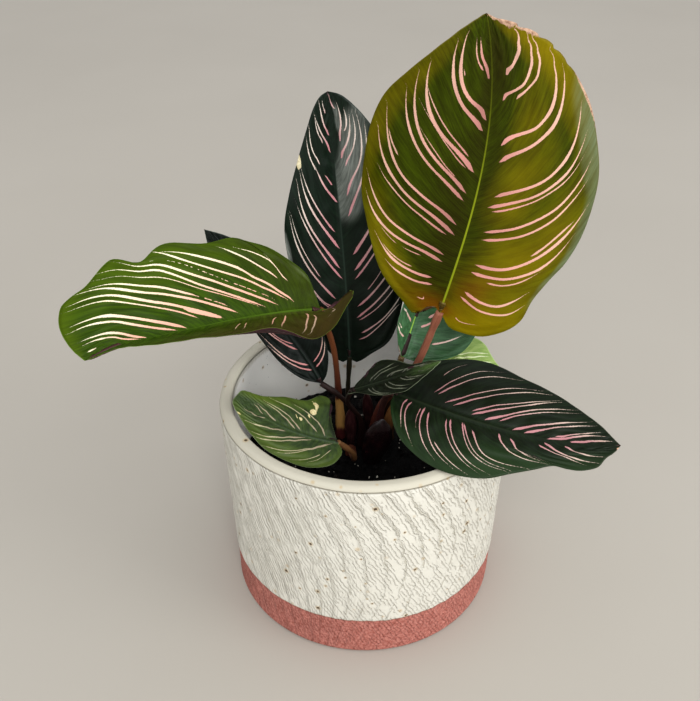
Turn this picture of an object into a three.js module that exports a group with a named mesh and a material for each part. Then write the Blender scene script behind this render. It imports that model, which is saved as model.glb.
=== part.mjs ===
import * as THREE from 'three';

// A calathea with nine leaves, rooted in a straight-sided ceramic planter.
// Millimetres, +Z up, origin at the middle of the planter's flat foot. The planter's axis is +Z,
// and -Y is the side from which the plant is seen.

// ---- Planter and soil ----
const POT_HEIGHT = 103;
const POT_FLOOR = 7;          // thickness of the floor
const FOOT_RADIUS = 62.5;     // outer radius at the foot
const FOOT_CHAMFER = 2;
const BODY_RADIUS = 65;       // outer radius under the lip
const LIP_HEIGHT = 4;         // the smooth rolled lip above the combed wall
const MOUTH_RADIUS = 59;      // inner radius at the lip
const WELL_RADIUS = 57.5;     // inner radius at the floor
const WELL_FILLET = 5;
const SOIL_TOP = 62;          // level of the soil round the crown
const SOIL_DROP = 1;          // how much lower it lies at the wall
const ROUND_STEPS = 48;       // sides of the turned solids
const SEAT = 0.3;             // gap between pieces that touch

// ---- Foliage ----
const BLADE_THICKNESS = 1;
const BLADE_ROWS = 12;        // rows from base to tip, each along a side vein
const BLADE_COLUMNS = 5;      // steps from midrib to margin
const STEM_SIDES = 8;
const STEM_STEPS = 9;
const FOOT_RISE = 4;          // straight rise of a stem or sheath out of the soil
const STEM_END_GAP = 0.8;       // from the end of a stem to the base of its blade's midrib

// A blade is measured along its midrib and out from it. `midrib` holds the four control points of a
// cubic curve from base to tip, and `face` the direction its upper side looks in at base and tip.
// Each half has `fold` and `curl`, at even stations from base to tip: the angle in degrees at which
// it leaves the midrib, upwards, and the degrees that it turns in every 10 mm of width. `wave` is the
// margin's height, waves per length and phase. `ear` is the rise, in mm at 10 mm, of what lies
// behind the base. `edge` is the margin from base to tip: [distance along, distance out].
const LEAVES = {
  tall: {
    midrib: [[30, -10, 150], [36, -18, 184], [47, -26, 235], [34, -44, 277]],
    face: [[-0.15, -0.9, 0.35], [-0.05, -0.9, 0.45]],
    left: {
      fold: [14, 8, 6], curl: [-4, -4, -4], wave: [1, 2, 0],
      edge: [
        [3, 4.5], [-3.5, 10], [4, 17.5], [17.5, 28], [40.5, 38], [54, 42], [81, 41.5], [94, 39.5],
        [107, 35], [116.5, 28.5], [125.5, 19], [131, 9], [132.5, 3],
      ],
    },
    right: {
      fold: [10, 6, 4], curl: [-6, -7, -6], wave: [1, 2, 0.3],
      edge: [
        [-6, 6], [-6, 11.5], [-4.5, 19], [1, 26], [10.5, 31.5], [23, 33], [33.5, 36.5], [41, 40],
        [51.5, 42.5], [63, 43], [75, 42], [88, 37.5], [97.5, 33.5], [107, 28], [114.5, 22.5],
        [119, 17.5], [124, 11], [128.5, 5],
      ],
    },
  },
  rear: {
    midrib: [[-7, 25, 103], [-8, 30, 147], [-13, 38, 187], [-16, 42, 224]],
    face: [[0, -0.9, 0.3], [0, -0.95, 0.2]],
    left: {
      fold: [15, 15, 12], curl: [-5, -5, -5], wave: [1, 2, 0],
      edge: [
        [-2.5, 2.5], [3.5, 9.5], [18, 17], [30, 21.5], [53, 25], [66, 24.5], [79, 21], [94, 15.5],
        [109, 9.5], [115, 7], [120.5, 3.5],
      ],
    },
    right: {
      fold: [22, 25, 22], curl: [-8, -8, -8], wave: [1, 2, 0.4],
      edge: [
        [-2.5, 2.5], [3, 11], [9.5, 19.5], [25.5, 25.5], [44.5, 28], [64.5, 28.5], [82, 26.5],
        [96.5, 22.5], [107, 17.5], [115.5, 11.5], [121, 5.5],
      ],
    },
  },
  left: {
    midrib: [[-19, -5, 148], [-47, -12, 151.5], [-74, -26, 149.5], [-108, -42, 149]],
    face: [[0.1, -0.1, 1], [-0.3, -0.1, 1]],
    left: {
      fold: [0, 0, 8, 10, 12], curl: [8, 12, 12, 9, 6], wave: [1.2, 3, 0.1], ear: 7,
      edge: [
        [-7, 1.5], [-12, 1.5], [-11.5, 4], [-8, 7.5], [-3.5, 13], [1, 18], [7, 25], [14, 30.5],
        [26, 32], [38, 28], [48, 20], [58, 13], [70, 9.5], [82, 5],
      ],
    },
    right: {
      fold: [45, 48, 42], curl: [-3, -3, -3], wave: [0, 3, 0],
      edge: [
        [1, 3], [2.5, 8], [5, 15], [12, 22], [19.5, 28], [27, 31.5], [32, 34], [38.5, 34],
        [44.5, 33.5], [51.5, 36], [57.5, 37], [63, 36], [69.5, 32.5], [75, 35], [79.5, 36],
        [82.5, 34], [87, 30.5], [96.5, 27], [100.5, 25.5], [102.5, 21.5], [103, 17], [102, 11.5],
        [100, 6],
      ],
    },
  },
  right: {
    midrib: [[12, -22, 117], [34, -36, 118], [69, -48, 109], [99, -54, 116]],
    face: [[0, -0.45, 0.89], [0.1, -0.45, 0.89]],
    left: {
      fold: [12, 10, 8], curl: [-11, -11, -10], wave: [0.8, 2, 0],
      edge: [
        [0, 7], [4, 12.5], [9, 19], [19, 25.5], [34.5, 31.5], [52, 26.5], [68.5, 20.5], [85.5, 9],
        [90.5, 3.5],
      ],
    },
    right: {
      fold: [12, 10, 8], curl: [-11, -11, -10], wave: [0.8, 2, 0.3],
      edge: [
        [0.5, 4], [4.5, 10.5], [9, 15.5], [13.5, 19], [24.5, 23.5], [34, 25], [41.5, 24.5],
        [48.5, 22.5], [56, 18], [63.5, 14], [70, 11], [74.5, 11.5], [79, 11.5], [85, 9.5],
        [88, 5.5], [91, 3],
      ],
    },
  },
  front: {
    midrib: [[-12, -25, 93], [-29, -21, 92], [-46, -16, 98], [-56, -11, 108]],
    face: [[0, -0.4, 0.9], [0.3, -0.2, 0.9]],
    left: {
      fold: [12, 10, 8], curl: [-12, -12, -12], wave: [0.5, 2, 0],
      edge: [
        [-3, 5], [-1.5, 9.5], [1, 12], [5.5, 14], [9.5, 15], [19, 14.5], [27, 14], [36.5, 10.5],
        [41.5, 8], [49, 4.5],
      ],
    },
    right: {
      fold: [12, 10, 8], curl: [-12, -12, -12], wave: [0.5, 2, 0.3],
      edge: [
        [2.5, 4.5], [5.5, 11], [9, 21], [14.5, 23], [19.5, 17.5], [30.5, 14.5], [40, 8.5],
        [49.5, 3.5],
      ],
    },
  },
  shaded: {
    midrib: [[-20, 8, 100], [-28, 14, 117], [-52, 28, 138], [-72, 40, 162]],
    face: [[-0.3, -0.8, 0.6], [-0.3, -0.8, 0.6]],
    left: {
      fold: [12, 10, 8], curl: [-8, -8, -8], wave: [0.5, 2, 0],
      edge: [[6.5, 5.5], [16.5, 9.5], [27, 11.5], [41, 11.5], [54, 10], [69.5, 6.5], [81.5, 3]],
    },
    right: {
      fold: [12, 10, 8], curl: [-8, -8, -8], wave: [0.5, 2, 0.3],
      edge: [[3.5, 4], [13.5, 10], [20.5, 12.5], [34, 17], [52, 18], [69, 13], [80.5, 6]],
    },
  },
  crown: {
    midrib: [[-6, -14, 113], [6, -22, 123], [18, -32, 136], [28, -42, 148]],
    face: [[0, -0.6, 0.8], [0, -0.4, 0.9]],
    left: {
      fold: [12, 10, 8], curl: [-10, -10, -10], wave: [0.5, 2, 0],
      edge: [
        [3, 2], [7.5, 4], [12.5, 6.5], [17.5, 9.5], [27, 7.5], [36.5, 3.5], [42.5, 2.5], [49.5, 2],
      ],
    },
    right: {
      fold: [12, 10, 8], curl: [-10, -10, -10], wave: [0.5, 2, 0.3],
      edge: [[-2.5, 1.5], [3.5, 2], [12, 4.5], [20.5, 7], [29.5, 8.5], [37.5, 9], [45.5, 7], [52.5, 4]],
    },
  },
  middle: {
    midrib: [[16, 5, 117], [21, 12, 129], [26, 22, 146], [36, 32, 165]],
    face: [[0.45, -0.7, 0.45], [0.45, -0.7, 0.45]],
    left: {
      fold: [36, 36, 24], curl: [-4, -4, -4], wave: [0.5, 2, 0],
      edge: [[2.5, 4], [6, 7.5], [11, 11], [17.5, 14], [24, 14], [32.5, 13], [41, 9.5], [50, 5]],
    },
    right: {
      fold: [30, 30, 20], curl: [-8, -8, -8], wave: [0.5, 2, 0.3],
      edge: [
        [0, 5], [1.5, 10.5], [5, 17], [8.5, 22], [12.5, 26], [20.5, 29], [32, 28], [43.5, 21.5],
        [52, 11],
      ],
    },
  },
  lime: {
    midrib: [[30, 12, 107], [41, 11, 108], [53, 8, 110], [65, 2, 107]],
    face: [[0, -0.3, 0.9], [0.2, -0.2, 0.9]],
    left: {
      fold: [12, 10, 8], curl: [-12, -12, -12], wave: [0.5, 2, 0],
      edge: [[0.5, 7], [6.5, 12.5], [12, 18], [18, 19], [22.5, 15], [27, 8], [32, 3]],
    },
    right: {
      fold: [12, 10, 8], curl: [-12, -12, -12], wave: [0.5, 2, 0.3],
      edge: [[2.5, 6], [16, 12], [26.5, 12.5], [34.5, 8]],
    },
  },
};

// A stem rises from its foot in the soil through its bends to its blade: [x, y] and [x, y, z].
const STEMS = {
  tall: { foot: [5, 16], bends: [[8, 11, 85], [21, -2, 115]], radius: [2.2, 1.6] },
  rear: { foot: [-7, 21], bends: [[-8, 22, 78]], radius: [2, 1.1] },
  left: { foot: [-11, 15], bends: [[-12, 15, 85], [-14, 6, 120]], radius: [2.2, 1.3] },
  right: { foot: [5, 8], bends: [[7, 2, 86], [9, -12, 108]], radius: [2.2, 1.4] },
  front: { foot: [-6.5, 2], bends: [[-5, -12, 72], [-6, -21, 84]], radius: [2, 1.2] },
  shaded: { foot: [-2.5, 16.5], bends: [[-4, 11, 80], [-12, 7, 94]], radius: [2, 1.2] },
  crown: { foot: [-1, 9], bends: [[-2, 4, 82], [-8, -8, 102]], radius: [2, 1] },
  middle: { foot: [9, 21], bends: [[12, 17, 86], [15, 9, 106]], radius: [2, 1.3] },
  lime: { foot: [12, 14], bends: [[17, 15, 82], [25, 13, 99]], radius: [2, 1.1] },
};

// Young and spent sheaths round the feet of the stems: path, greatest radius, and how flat each is.
const SHEATHS = {
  sheath_front: { path: [[-6.5, 8, 0], [-6.5, 6, 14], [-6.5, 3.5, 27]], radius: 3, flat: 0.6 },
  sheath_rear: { path: [[2, 21.5, 0], [2, 20, 13], [1, 18, 25]], radius: 2.8, flat: 0.6 },
  sheath_dry: { path: [[10, 9.5, 0], [11, 9, 12], [14, 8, 28]], radius: 2.6, flat: 0.5 },
  shoot_rolled: { path: [[3.5, -3, 0], [5, -4, 11], [8, -6, 28]], radius: 8.5, flat: 0.5 },
};

// ---- Finishes ----
const finish = (color, roughness) =>
  new THREE.MeshStandardMaterial({ color, roughness, metalness: 0, side: THREE.DoubleSide });
const GLAZE = finish(0xe9e6da, 0.55);
const SOIL = finish(0x17120f, 0.95);
const LEAF_COLOURS = {
  tall: 0x4f5a0a, rear: 0x12261d, left: 0x2f5a17, right: 0x16301f, front: 0x3c5f24,
  shaded: 0x16281f, crown: 0x1d3322, middle: 0x1a3d2a, lime: 0x8fb855,
};
const STEM_COLOUR = 0x6a4a35;
const SHEATH_COLOUR = 0x3a1f25;
const DRY_COLOUR = 0xa07a4c;

const model = new THREE.Group();
model.name = 'potted_calathea';

function add(name, geometry, material) {
  const mesh = new THREE.Mesh(geometry, material);
  mesh.name = name;
  model.add(mesh);
}

const point = (p) => new THREE.Vector3(...p);

// Blend between values at even stations, with no corner at a station.
function along(values, u) {
  const last = values.length - 1;
  const x = THREE.MathUtils.clamp(u, 0, 1) * last;
  const i = Math.min(Math.floor(x), last - 1);
  return THREE.MathUtils.lerp(values[i], values[i + 1], THREE.MathUtils.smoothstep(x - i, 0, 1));
}

// Close a stack of rings of points, all alike in count, between two end points.
function closedRings(start, rings, end) {
  const count = rings[0].length;
  const vertices = [start, ...rings.flat(), end];
  const top = vertices.length - 1;
  const index = [];
  for (let j = 0; j < count; j++) {
    const k = (j + 1) % count;
    index.push(0, 1 + k, 1 + j);
    for (let i = 0; i < rings.length - 1; i++) {
      const a = 1 + i * count;
      const b = a + count;
      index.push(a + j, a + k, b + j, a + k, b + k, b + j);
    }
    const a = 1 + (rings.length - 1) * count;
    index.push(a + j, a + k, top);
  }
  const geometry = new THREE.BufferGeometry().setFromPoints(vertices);
  geometry.setIndex(index);
  geometry.computeVertexNormals();
  return geometry;
}

// ---- Blade ----

// The point of a blade at a distance along its midrib and out from it, and the upward normal there.
function bladePoint(leaf, midrib, length, side, distance, out) {
  const half = side > 0 ? leaf.right : leaf.left;
  const u = THREE.MathUtils.clamp(distance / length, 0, 1);
  const tangent = midrib.getTangent(u);
  const rib = midrib.getPoint(u).addScaledVector(tangent, distance - u * length);
  const normal = point(leaf.face[0]).normalize().lerp(point(leaf.face[1]).normalize(), u);
  normal.addScaledVector(tangent, -normal.dot(tangent)).normalize();
  const across = tangent.clone().cross(normal);

  const start = THREE.MathUtils.degToRad(along(half.fold, u));
  const turn = THREE.MathUtils.degToRad(along(half.curl, u)) / 10 || 1e-5;
  const angle = start + turn * out;
  const [height, waves, phase] = half.wave;
  const widest = Math.max(...half.edge.map((p) => p[1]));
  const ripple = height * (out / widest) ** 2 * Math.sin(2 * Math.PI * (waves * u + phase));
  const ear = (half.ear ?? 0) * (Math.min(distance, 0) / 10) ** 2;
  const reach = (Math.sin(angle) - Math.sin(start)) / turn;
  const rise = (Math.cos(start) - Math.cos(angle)) / turn + ripple + ear;
  rib.addScaledVector(across, side * reach).addScaledVector(normal, rise);

  const up = across.multiplyScalar(-side * Math.sin(angle)).addScaledVector(normal, Math.cos(angle));
  return { position: rib, up };
}

// Side veins fan out from the midrib and sweep forward, so a row of the blade follows one: it starts
// square to the midrib at the base and at half that angle further on, and ends along the margin.
function vein(edge, length, s) {
  const start = new THREE.Vector3(s * length, 0, 0);
  const end = edge.getPointAt(1 - (1 - s) * (0.2 + 0.8 * (1 - s) ** 2.5));
  const span = start.distanceTo(end);
  const angle = THREE.MathUtils.degToRad(50 + 65 * (1 - s) ** 4);
  const leave = start.clone().add(new THREE.Vector3(Math.cos(angle), Math.sin(angle), 0)
    .multiplyScalar(0.25 * span));
  const arrive = end.clone().sub(new THREE.Vector3(Math.cos(0.25), Math.sin(0.25), 0)
    .multiplyScalar(0.38 * span));
  return new THREE.CubicBezierCurve3(start, leave, arrive, end);
}

function blade(leaf) {
  const midrib = new THREE.CubicBezierCurve3(...leaf.midrib.map(point));
  const length = midrib.getLength();
  const edges = [leaf.left, leaf.right].map((half) => new THREE.CatmullRomCurve3(
    [[0, 0], ...half.edge, [length, 0]].map(([a, w]) => new THREE.Vector3(a, w, 0)), false, 'centripetal'));

  const rings = [];
  for (let row = 1; row < BLADE_ROWS; row++) {
    const s = 1 - (1 - row / BLADE_ROWS) ** 0.6;
    const upper = [];
    const lower = [];
    for (let column = -BLADE_COLUMNS; column <= BLADE_COLUMNS; column++) {
      const side = column < 0 ? -1 : 1;
      const t = Math.abs(column) / BLADE_COLUMNS;
      const { x, y } = vein(edges[side < 0 ? 0 : 1], length, s).getPoint(t);
      const { position, up } = bladePoint(leaf, midrib, length, side, x, y);
      const halfThickness = BLADE_THICKNESS / 2 * (1 - t ** 4);
      upper.push(position.clone().addScaledVector(up, halfThickness));
      if (t < 1) lower.unshift(position.clone().addScaledVector(up, -halfThickness));
    }
    rings.push([...upper, ...lower]);
  }
  return closedRings(midrib.getPoint(0), rings, midrib.getPoint(1));
}

// ---- Stems and sheaths ----

// A stalk along a curve, with its radius across x given from 0 to 1, and `flat` of that along y.
function stalk(curve, radiusAt, flat = 1) {
  const across = new THREE.Vector3(1, 0, 0);
  const rings = [];
  for (let i = 0; i <= STEM_STEPS; i++) {
    const u = i / STEM_STEPS;
    const centre = curve.getPointAt(u);
    const tangent = curve.getTangentAt(u);
    across.addScaledVector(tangent, -across.dot(tangent)).normalize();
    const deep = tangent.cross(across);
    const ring = [];
    for (let j = 0; j < STEM_SIDES; j++) {
      const angle = 2 * Math.PI * j / STEM_SIDES;
      ring.push(centre.clone()
        .addScaledVector(across, radiusAt(u) * Math.cos(angle))
        .addScaledVector(deep, radiusAt(u) * flat * Math.sin(angle)));
    }
    rings.push(ring);
  }
  return closedRings(curve.getPointAt(0), rings, curve.getPointAt(1));
}

function stem({ foot, bends, radius }, base) {
  const approach = base.clone().sub(point(bends.at(-1))).normalize();
  const end = base.clone().addScaledVector(approach, -STEM_END_GAP);
  const footPoints = [0, FOOT_RISE].map((z) => new THREE.Vector3(...foot, SOIL_TOP + SEAT + z));
  const curve = new THREE.CatmullRomCurve3([...footPoints, ...bends.map(point), end], false, 'centripetal');
  return stalk(curve, (u) => THREE.MathUtils.lerp(radius[0], radius[1], Math.min(1, 2 * u)));
}

function sheath({ path, radius, flat }) {
  const [[x0, y0]] = path;
  const curve = new THREE.CatmullRomCurve3([[x0, y0, 0], [x0, y0, FOOT_RISE], ...path.slice(1)]
    .map(([x, y, rise]) => new THREE.Vector3(x, y, SOIL_TOP + SEAT + rise)), false, 'centripetal');
  return stalk(curve, (u) => radius * (0.55 + 0.9 * u) * (1 - 0.93 * u ** 3), flat);
}

// ---- Turned pieces ----
function turned(profile) {
  const points = profile.map(([r, z]) => new THREE.Vector2(r, z));
  return new THREE.LatheGeometry(points, ROUND_STEPS).rotateX(Math.PI / 2);
}

const POT_PROFILE = [
  [0, 0],
  [FOOT_RADIUS - FOOT_CHAMFER, 0],
  [FOOT_RADIUS, FOOT_CHAMFER],
  [BODY_RADIUS, POT_HEIGHT - LIP_HEIGHT],
  [BODY_RADIUS, POT_HEIGHT - LIP_HEIGHT / 2],
  [BODY_RADIUS - 1.5, POT_HEIGHT - 0.5],
  [BODY_RADIUS - 3, POT_HEIGHT],
  [MOUTH_RADIUS + 1, POT_HEIGHT],
  [MOUTH_RADIUS, POT_HEIGHT - 1],
  [WELL_RADIUS, POT_FLOOR + WELL_FILLET],
  [WELL_RADIUS - WELL_FILLET, POT_FLOOR],
  [0, POT_FLOOR],
];

// Inner radius of the well at a height.
const wellRadius = (z) => THREE.MathUtils.mapLinear(
  z, POT_FLOOR + WELL_FILLET, POT_HEIGHT - 1, WELL_RADIUS, MOUTH_RADIUS);

const SOIL_PROFILE = [
  [0, POT_FLOOR + SEAT],
  [WELL_RADIUS - WELL_FILLET - SEAT, POT_FLOOR + SEAT],
  [WELL_RADIUS - 2 * SEAT, POT_FLOOR + WELL_FILLET],
  [wellRadius(SOIL_TOP) - 2 * SEAT, SOIL_TOP - SOIL_DROP],
  [WELL_RADIUS * 0.6, SOIL_TOP],
  [0, SOIL_TOP],
];

add('pot', turned(POT_PROFILE), GLAZE);
add('potting_soil', turned(SOIL_PROFILE), SOIL);
for (const [name, leaf] of Object.entries(LEAVES)) {
  add(`leaf_${name}`, blade(leaf), finish(LEAF_COLOURS[name], 0.4));
  add(`stem_${name}`, stem(STEMS[name], point(leaf.midrib[0])), finish(STEM_COLOUR, 0.5));
}
for (const [name, shape] of Object.entries(SHEATHS)) {
  add(name, sheath(shape), finish(name === 'sheath_dry' ? DRY_COLOUR : SHEATH_COLOUR, 0.5));
}

export default model;
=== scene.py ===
"""A potted calathea: nine striped leaves on slender petioles, rooted in a combed ceramic planter.

Lengths are in millimetres, as the plant was measured, unless a line says metres. Colours are
six-digit display codes.
"""
import logging
import math
from dataclasses import dataclass, field
from enum import Enum
from typing import Callable

import bpy
import numpy as np
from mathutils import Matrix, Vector, noise


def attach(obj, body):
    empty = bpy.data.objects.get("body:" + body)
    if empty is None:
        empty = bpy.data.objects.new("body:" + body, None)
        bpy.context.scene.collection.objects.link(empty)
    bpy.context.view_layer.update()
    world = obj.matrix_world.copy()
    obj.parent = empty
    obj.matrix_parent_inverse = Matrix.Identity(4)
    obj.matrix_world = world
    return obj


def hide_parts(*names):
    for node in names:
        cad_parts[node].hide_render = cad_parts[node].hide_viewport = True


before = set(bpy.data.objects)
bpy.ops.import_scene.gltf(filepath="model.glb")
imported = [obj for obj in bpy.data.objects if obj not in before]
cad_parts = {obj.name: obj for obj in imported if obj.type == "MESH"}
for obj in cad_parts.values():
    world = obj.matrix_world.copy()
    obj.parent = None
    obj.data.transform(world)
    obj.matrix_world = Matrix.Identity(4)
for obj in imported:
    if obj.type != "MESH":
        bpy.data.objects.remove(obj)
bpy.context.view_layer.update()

LOG = logging.getLogger("calathea")
MM = 0.001

# The planter's wall: its radius, and the heights of the lip's seam and of the glaze's lower edge.
WALL_RADIUS = 65.0
SEAM = 100.7
BAND = 22.0
# Its comb: strokes fall from COMB_TOP by COMB_FALL and run COMB_RUN round the wall. Round the angle
# BENT_SIDE, in radians from the front, they run by BENT_RUN and bend back by BEND_BACK instead.
COMB_TOP = 99.0
COMB_FALL = 77.0
COMB_RUN = 30.0
BENT_RUN = 60.0
BEND_BACK = 54.0
BENT_SIDE = 0.9
BENT_REACH = (-0.1, 0.9)
BROAD_STROKES = 51.0

Points = np.ndarray
Placing = Callable[[Points, Points], Points]


def tone(code: str) -> tuple[float, float, float, float]:
    """A linear colour from a six-digit display code such as "4f5a0a".

    Args:
        code: the code.

    Returns:
        The colour, with an alpha of 1.
    """
    parts = [int(code[i:i + 2], 16) / 255 for i in (0, 2, 4)]
    linear = [c / 12.92 if c <= 0.04045 else ((c + 0.055) / 1.055) ** 2.4 for c in parts]
    return (linear[0], linear[1], linear[2], 1.0)


# ---------------------------------------------------------------------------------------------
# Node trees
# ---------------------------------------------------------------------------------------------
class Value:
    """What a socket gives. Arithmetic with it adds Math nodes to its board."""

    def __init__(self, board: "Board", socket: bpy.types.NodeSocket) -> None:
        """Stands for `socket`."""
        self.board = board
        self.socket = socket

    def __add__(self, other: "Value | float") -> "Value":
        """The sum of both."""
        return self.board.math("ADD", self, other)

    def __sub__(self, other: "Value | float") -> "Value":
        """This less the other."""
        return self.board.math("SUBTRACT", self, other)

    def __rsub__(self, other: float) -> "Value":
        """The other less this."""
        return self.board.math("SUBTRACT", other, self)

    def __mul__(self, other: "Value | float") -> "Value":
        """The product of both."""
        return self.board.math("MULTIPLY", self, other)

    def __truediv__(self, other: float) -> "Value":
        """This divided by the other."""
        return self.board.math("DIVIDE", self, other)

    def __abs__(self) -> "Value":
        """Its distance from zero."""
        return self.board.math("ABSOLUTE", self)


class Board:
    """A node tree, with short calls for the nodes that the finishes are made of."""

    def __init__(self, tree: bpy.types.NodeTree) -> None:
        """Works on `tree`."""
        self.tree = tree

    def feed(self, socket: bpy.types.NodeSocket, value: object) -> None:
        """Links `value` into `socket` if it comes from a node, or else sets it there.

        Args:
            socket: the input.
            value: a value from a node, a plain value or a colour code.
        """
        if isinstance(value, Value):
            self.tree.links.new(value.socket, socket)
        else:
            socket.default_value = tone(value) if isinstance(value, str) else value

    def add(self, kind: str, feeds: dict | None = None, **settings: object) -> dict[str | int, Value]:
        """Adds a node.

        Args:
            kind: the node's type, without the "ShaderNode" in front.
            feeds: input name or number to a value.
            settings: the node's own properties.

        Returns:
            The new node's outputs, by name and by number.
        """
        node = self.tree.nodes.new("ShaderNode" + kind)
        for name, value in settings.items():
            setattr(node, name, value)
        for name, value in (feeds or {}).items():
            self.feed(node.inputs[name], value)
        made = [Value(self, output) for output in node.outputs]
        return {**dict(enumerate(made)), **{value.socket.name: value for value in made}}

    def math(self, operation: str, *values: object) -> Value:
        """The output of a Math node fed with `values`."""
        return self.add("Math", dict(enumerate(values)), operation=operation)[0]

    def mix(self, amount: object, first: object, second: object) -> Value:
        """The colour `amount` of the way from `first` to `second`."""
        return self.add("Mix", {0: amount, 6: first, 7: second}, data_type="RGBA")[2]

    def over(self, colour: object, *layers: tuple[object, object]) -> object:
        """`colour` with layers of (amount, colour) laid over it, one after the other.

        Args:
            colour: the colour below.
            layers: the amounts and colours, the lowest first.

        Returns:
            The colour on top.
        """
        for amount, paint in layers:
            colour = self.mix(amount, colour, paint)
        return colour

    def ease(self, value: Value, low: object, high: object, to: tuple = (0.0, 1.0)) -> Value:
        """`value` taken smoothly from the range `low` to `high` into the range `to`."""
        feeds = {"Value": value, "From Min": low, "From Max": high, "To Min": to[0], "To Max": to[1]}
        return self.add("MapRange", feeds, interpolation_type="SMOOTHSTEP")[0]

    def split(self, vector: Value) -> tuple[Value, Value, Value]:
        """The three parts of a vector."""
        parts = self.add("SeparateXYZ", {0: vector})
        return parts[0], parts[1], parts[2]

    def join(self, x: object, y: object, z: object = 0.0) -> Value:
        """A vector made of three numbers."""
        return self.add("CombineXYZ", {0: x, 1: y, 2: z})[0]

    def noise(self, vector: Value, scale: object, detail: float = 2.0, rough: float = 0.5) -> Value:
        """Smooth noise from 0 to 1."""
        feeds = {"Vector": vector, "Scale": scale, "Detail": detail, "Roughness": rough}
        return self.add("TexNoise", feeds)[0]

    def place(self) -> Value:
        """Object coordinates, in metres."""
        return self.add("TexCoord")["Object"]

    def attribute(self, name: str) -> tuple[Value, Value, Value]:
        """The three numbers of a piece's own attribute."""
        return self.split(self.add("Attribute", attribute_name=name)["Vector"])

    def unrolled(self) -> tuple[Value, Value]:
        """The two numbers of a piece's own UV map."""
        return self.split(self.add("UVMap", uv_map="UVMap")[0])[:2]

    def group(self, tree: bpy.types.NodeTree, **values: object) -> dict[str | int, Value]:
        """Places a shared effect and returns its outputs by name."""
        return self.add("Group", values, node_tree=tree)


Wiring = Callable[[Board, dict[str, Value]], dict[str, Value]]


def effect(name: str, inputs: dict[str, float], wire: Wiring) -> bpy.types.NodeTree:
    """Makes a shader node group that several finishes share.

    Args:
        name: the group's name.
        inputs: input name to its usual value.
        wire: takes the board and the inputs, and returns the outputs by name, all masks or heights.

    Returns:
        The node group.
    """
    tree = bpy.data.node_groups.new(name, "ShaderNodeTree")
    board = Board(tree)
    for label, value in inputs.items():
        socket = tree.interface.new_socket(label, in_out="INPUT", socket_type="NodeSocketFloat")
        socket.default_value = value
    entry = tree.nodes.new("NodeGroupInput")
    made = wire(board, {label: Value(board, entry.outputs[label]) for label in inputs})
    for label in made:
        tree.interface.new_socket(label, in_out="OUTPUT", socket_type="NodeSocketFloat")
    leave = tree.nodes.new("NodeGroupOutput")
    for label, value in made.items():
        board.feed(leave.inputs[label], value)
    return tree


def wire_stripes(board: Board, given: dict[str, Value]) -> dict[str, Value]:
    """Stripes with ragged edges, some broken into beads, from the two stripe lines nearest to each face.

    Args:
        board: the group's board.
        given: its inputs by name.

    Returns:
        Its outputs by name.
    """
    place = board.place()
    shift = (board.noise(place, 1500.0, 2.0, 0.6) - 0.5) * given["Ragged"]
    beads = board.ease(board.noise(place, 800.0, 1.0), 0.46, 0.56)
    masks = []
    for name in ("stripe_near", "stripe_next"):
        across, half, dotted = board.attribute(name)
        solid = board.ease(half + shift - abs(across), given["Softness"] * -1.0, given["Softness"])
        masks.append(solid * board.math("MAXIMUM", beads, 1.0 - dotted))
    return {"Mask": board.math("MAXIMUM", *masks)}


def wire_veins(board: Board, given: dict[str, Value]) -> dict[str, Value]:
    """Fine side veins, and streaks of tone that run with them, on a blade unrolled in its UV map.

    Args:
        board: the group's board.
        given: its inputs by name.

    Returns:
        Its outputs by name.
    """
    across, along = board.unrolled()
    lines = along * given["Count"]
    spread = board.join(lines * 0.55, across * 7.0)
    phase = lines + board.noise(spread, 0.35) * 1.5
    return {"Ridge": abs(board.math("SINE", phase * math.pi)),
            "Streak": board.noise(spread, 1.0, 4.0, 0.65),
            "Out": abs(across - 0.5) * 2.0}


def wire_mottle(board: Board, given: dict[str, Value]) -> dict[str, Value]:
    """Large and small blotches of tone on object coordinates.

    Args:
        board: the group's board.
        given: its inputs by name.

    Returns:
        Its outputs by name.
    """
    place = board.place()
    return {"Blotch": board.noise(place, given["Large"], 3.0, 0.55),
            "Grain": board.noise(place, given["Small"], 4.0, 0.6)}


def wire_specks(board: Board, given: dict[str, Value]) -> dict[str, Value]:
    """Scattered specks of mixed size, each with a halo.

    Args:
        board: the group's board.
        given: its inputs by name.

    Returns:
        Its outputs by name.
    """
    place = board.place()
    wobble = board.join(board.noise(place, 2200.0, 1.0) * 0.0006, 0.0)
    bent = board.add("VectorMath", {0: place, 1: wobble}, operation="ADD")[0]
    cells = board.add("TexVoronoi", {"Vector": bent, "Scale": given["Scale"]})
    pick, size, _ = board.split(cells["Color"])
    chosen = board.math("LESS_THAN", pick, given["Share"])
    radius = size * given["Spread"] + given["Radius"]
    return {"Core": board.ease(cells["Distance"], radius, radius * 0.6) * chosen,
            "Halo": board.ease(cells["Distance"], radius * 2.2, radius * 0.8) * chosen}


def comb_run(height: Points | Value, bent: Points | Value) -> Points | Value:
    """How far round the wall a stroke of the comb has run.

    Args:
        height: how high on the wall.
        bent: 0 where the strokes stay straight, 1 where they bend back.

    Returns:
        The distance from where the stroke starts.
    """
    depth = (COMB_TOP - height) / COMB_FALL
    straight = depth * COMB_RUN
    return straight + (depth * (BENT_RUN - depth * BEND_BACK) - straight) * bent


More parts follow.
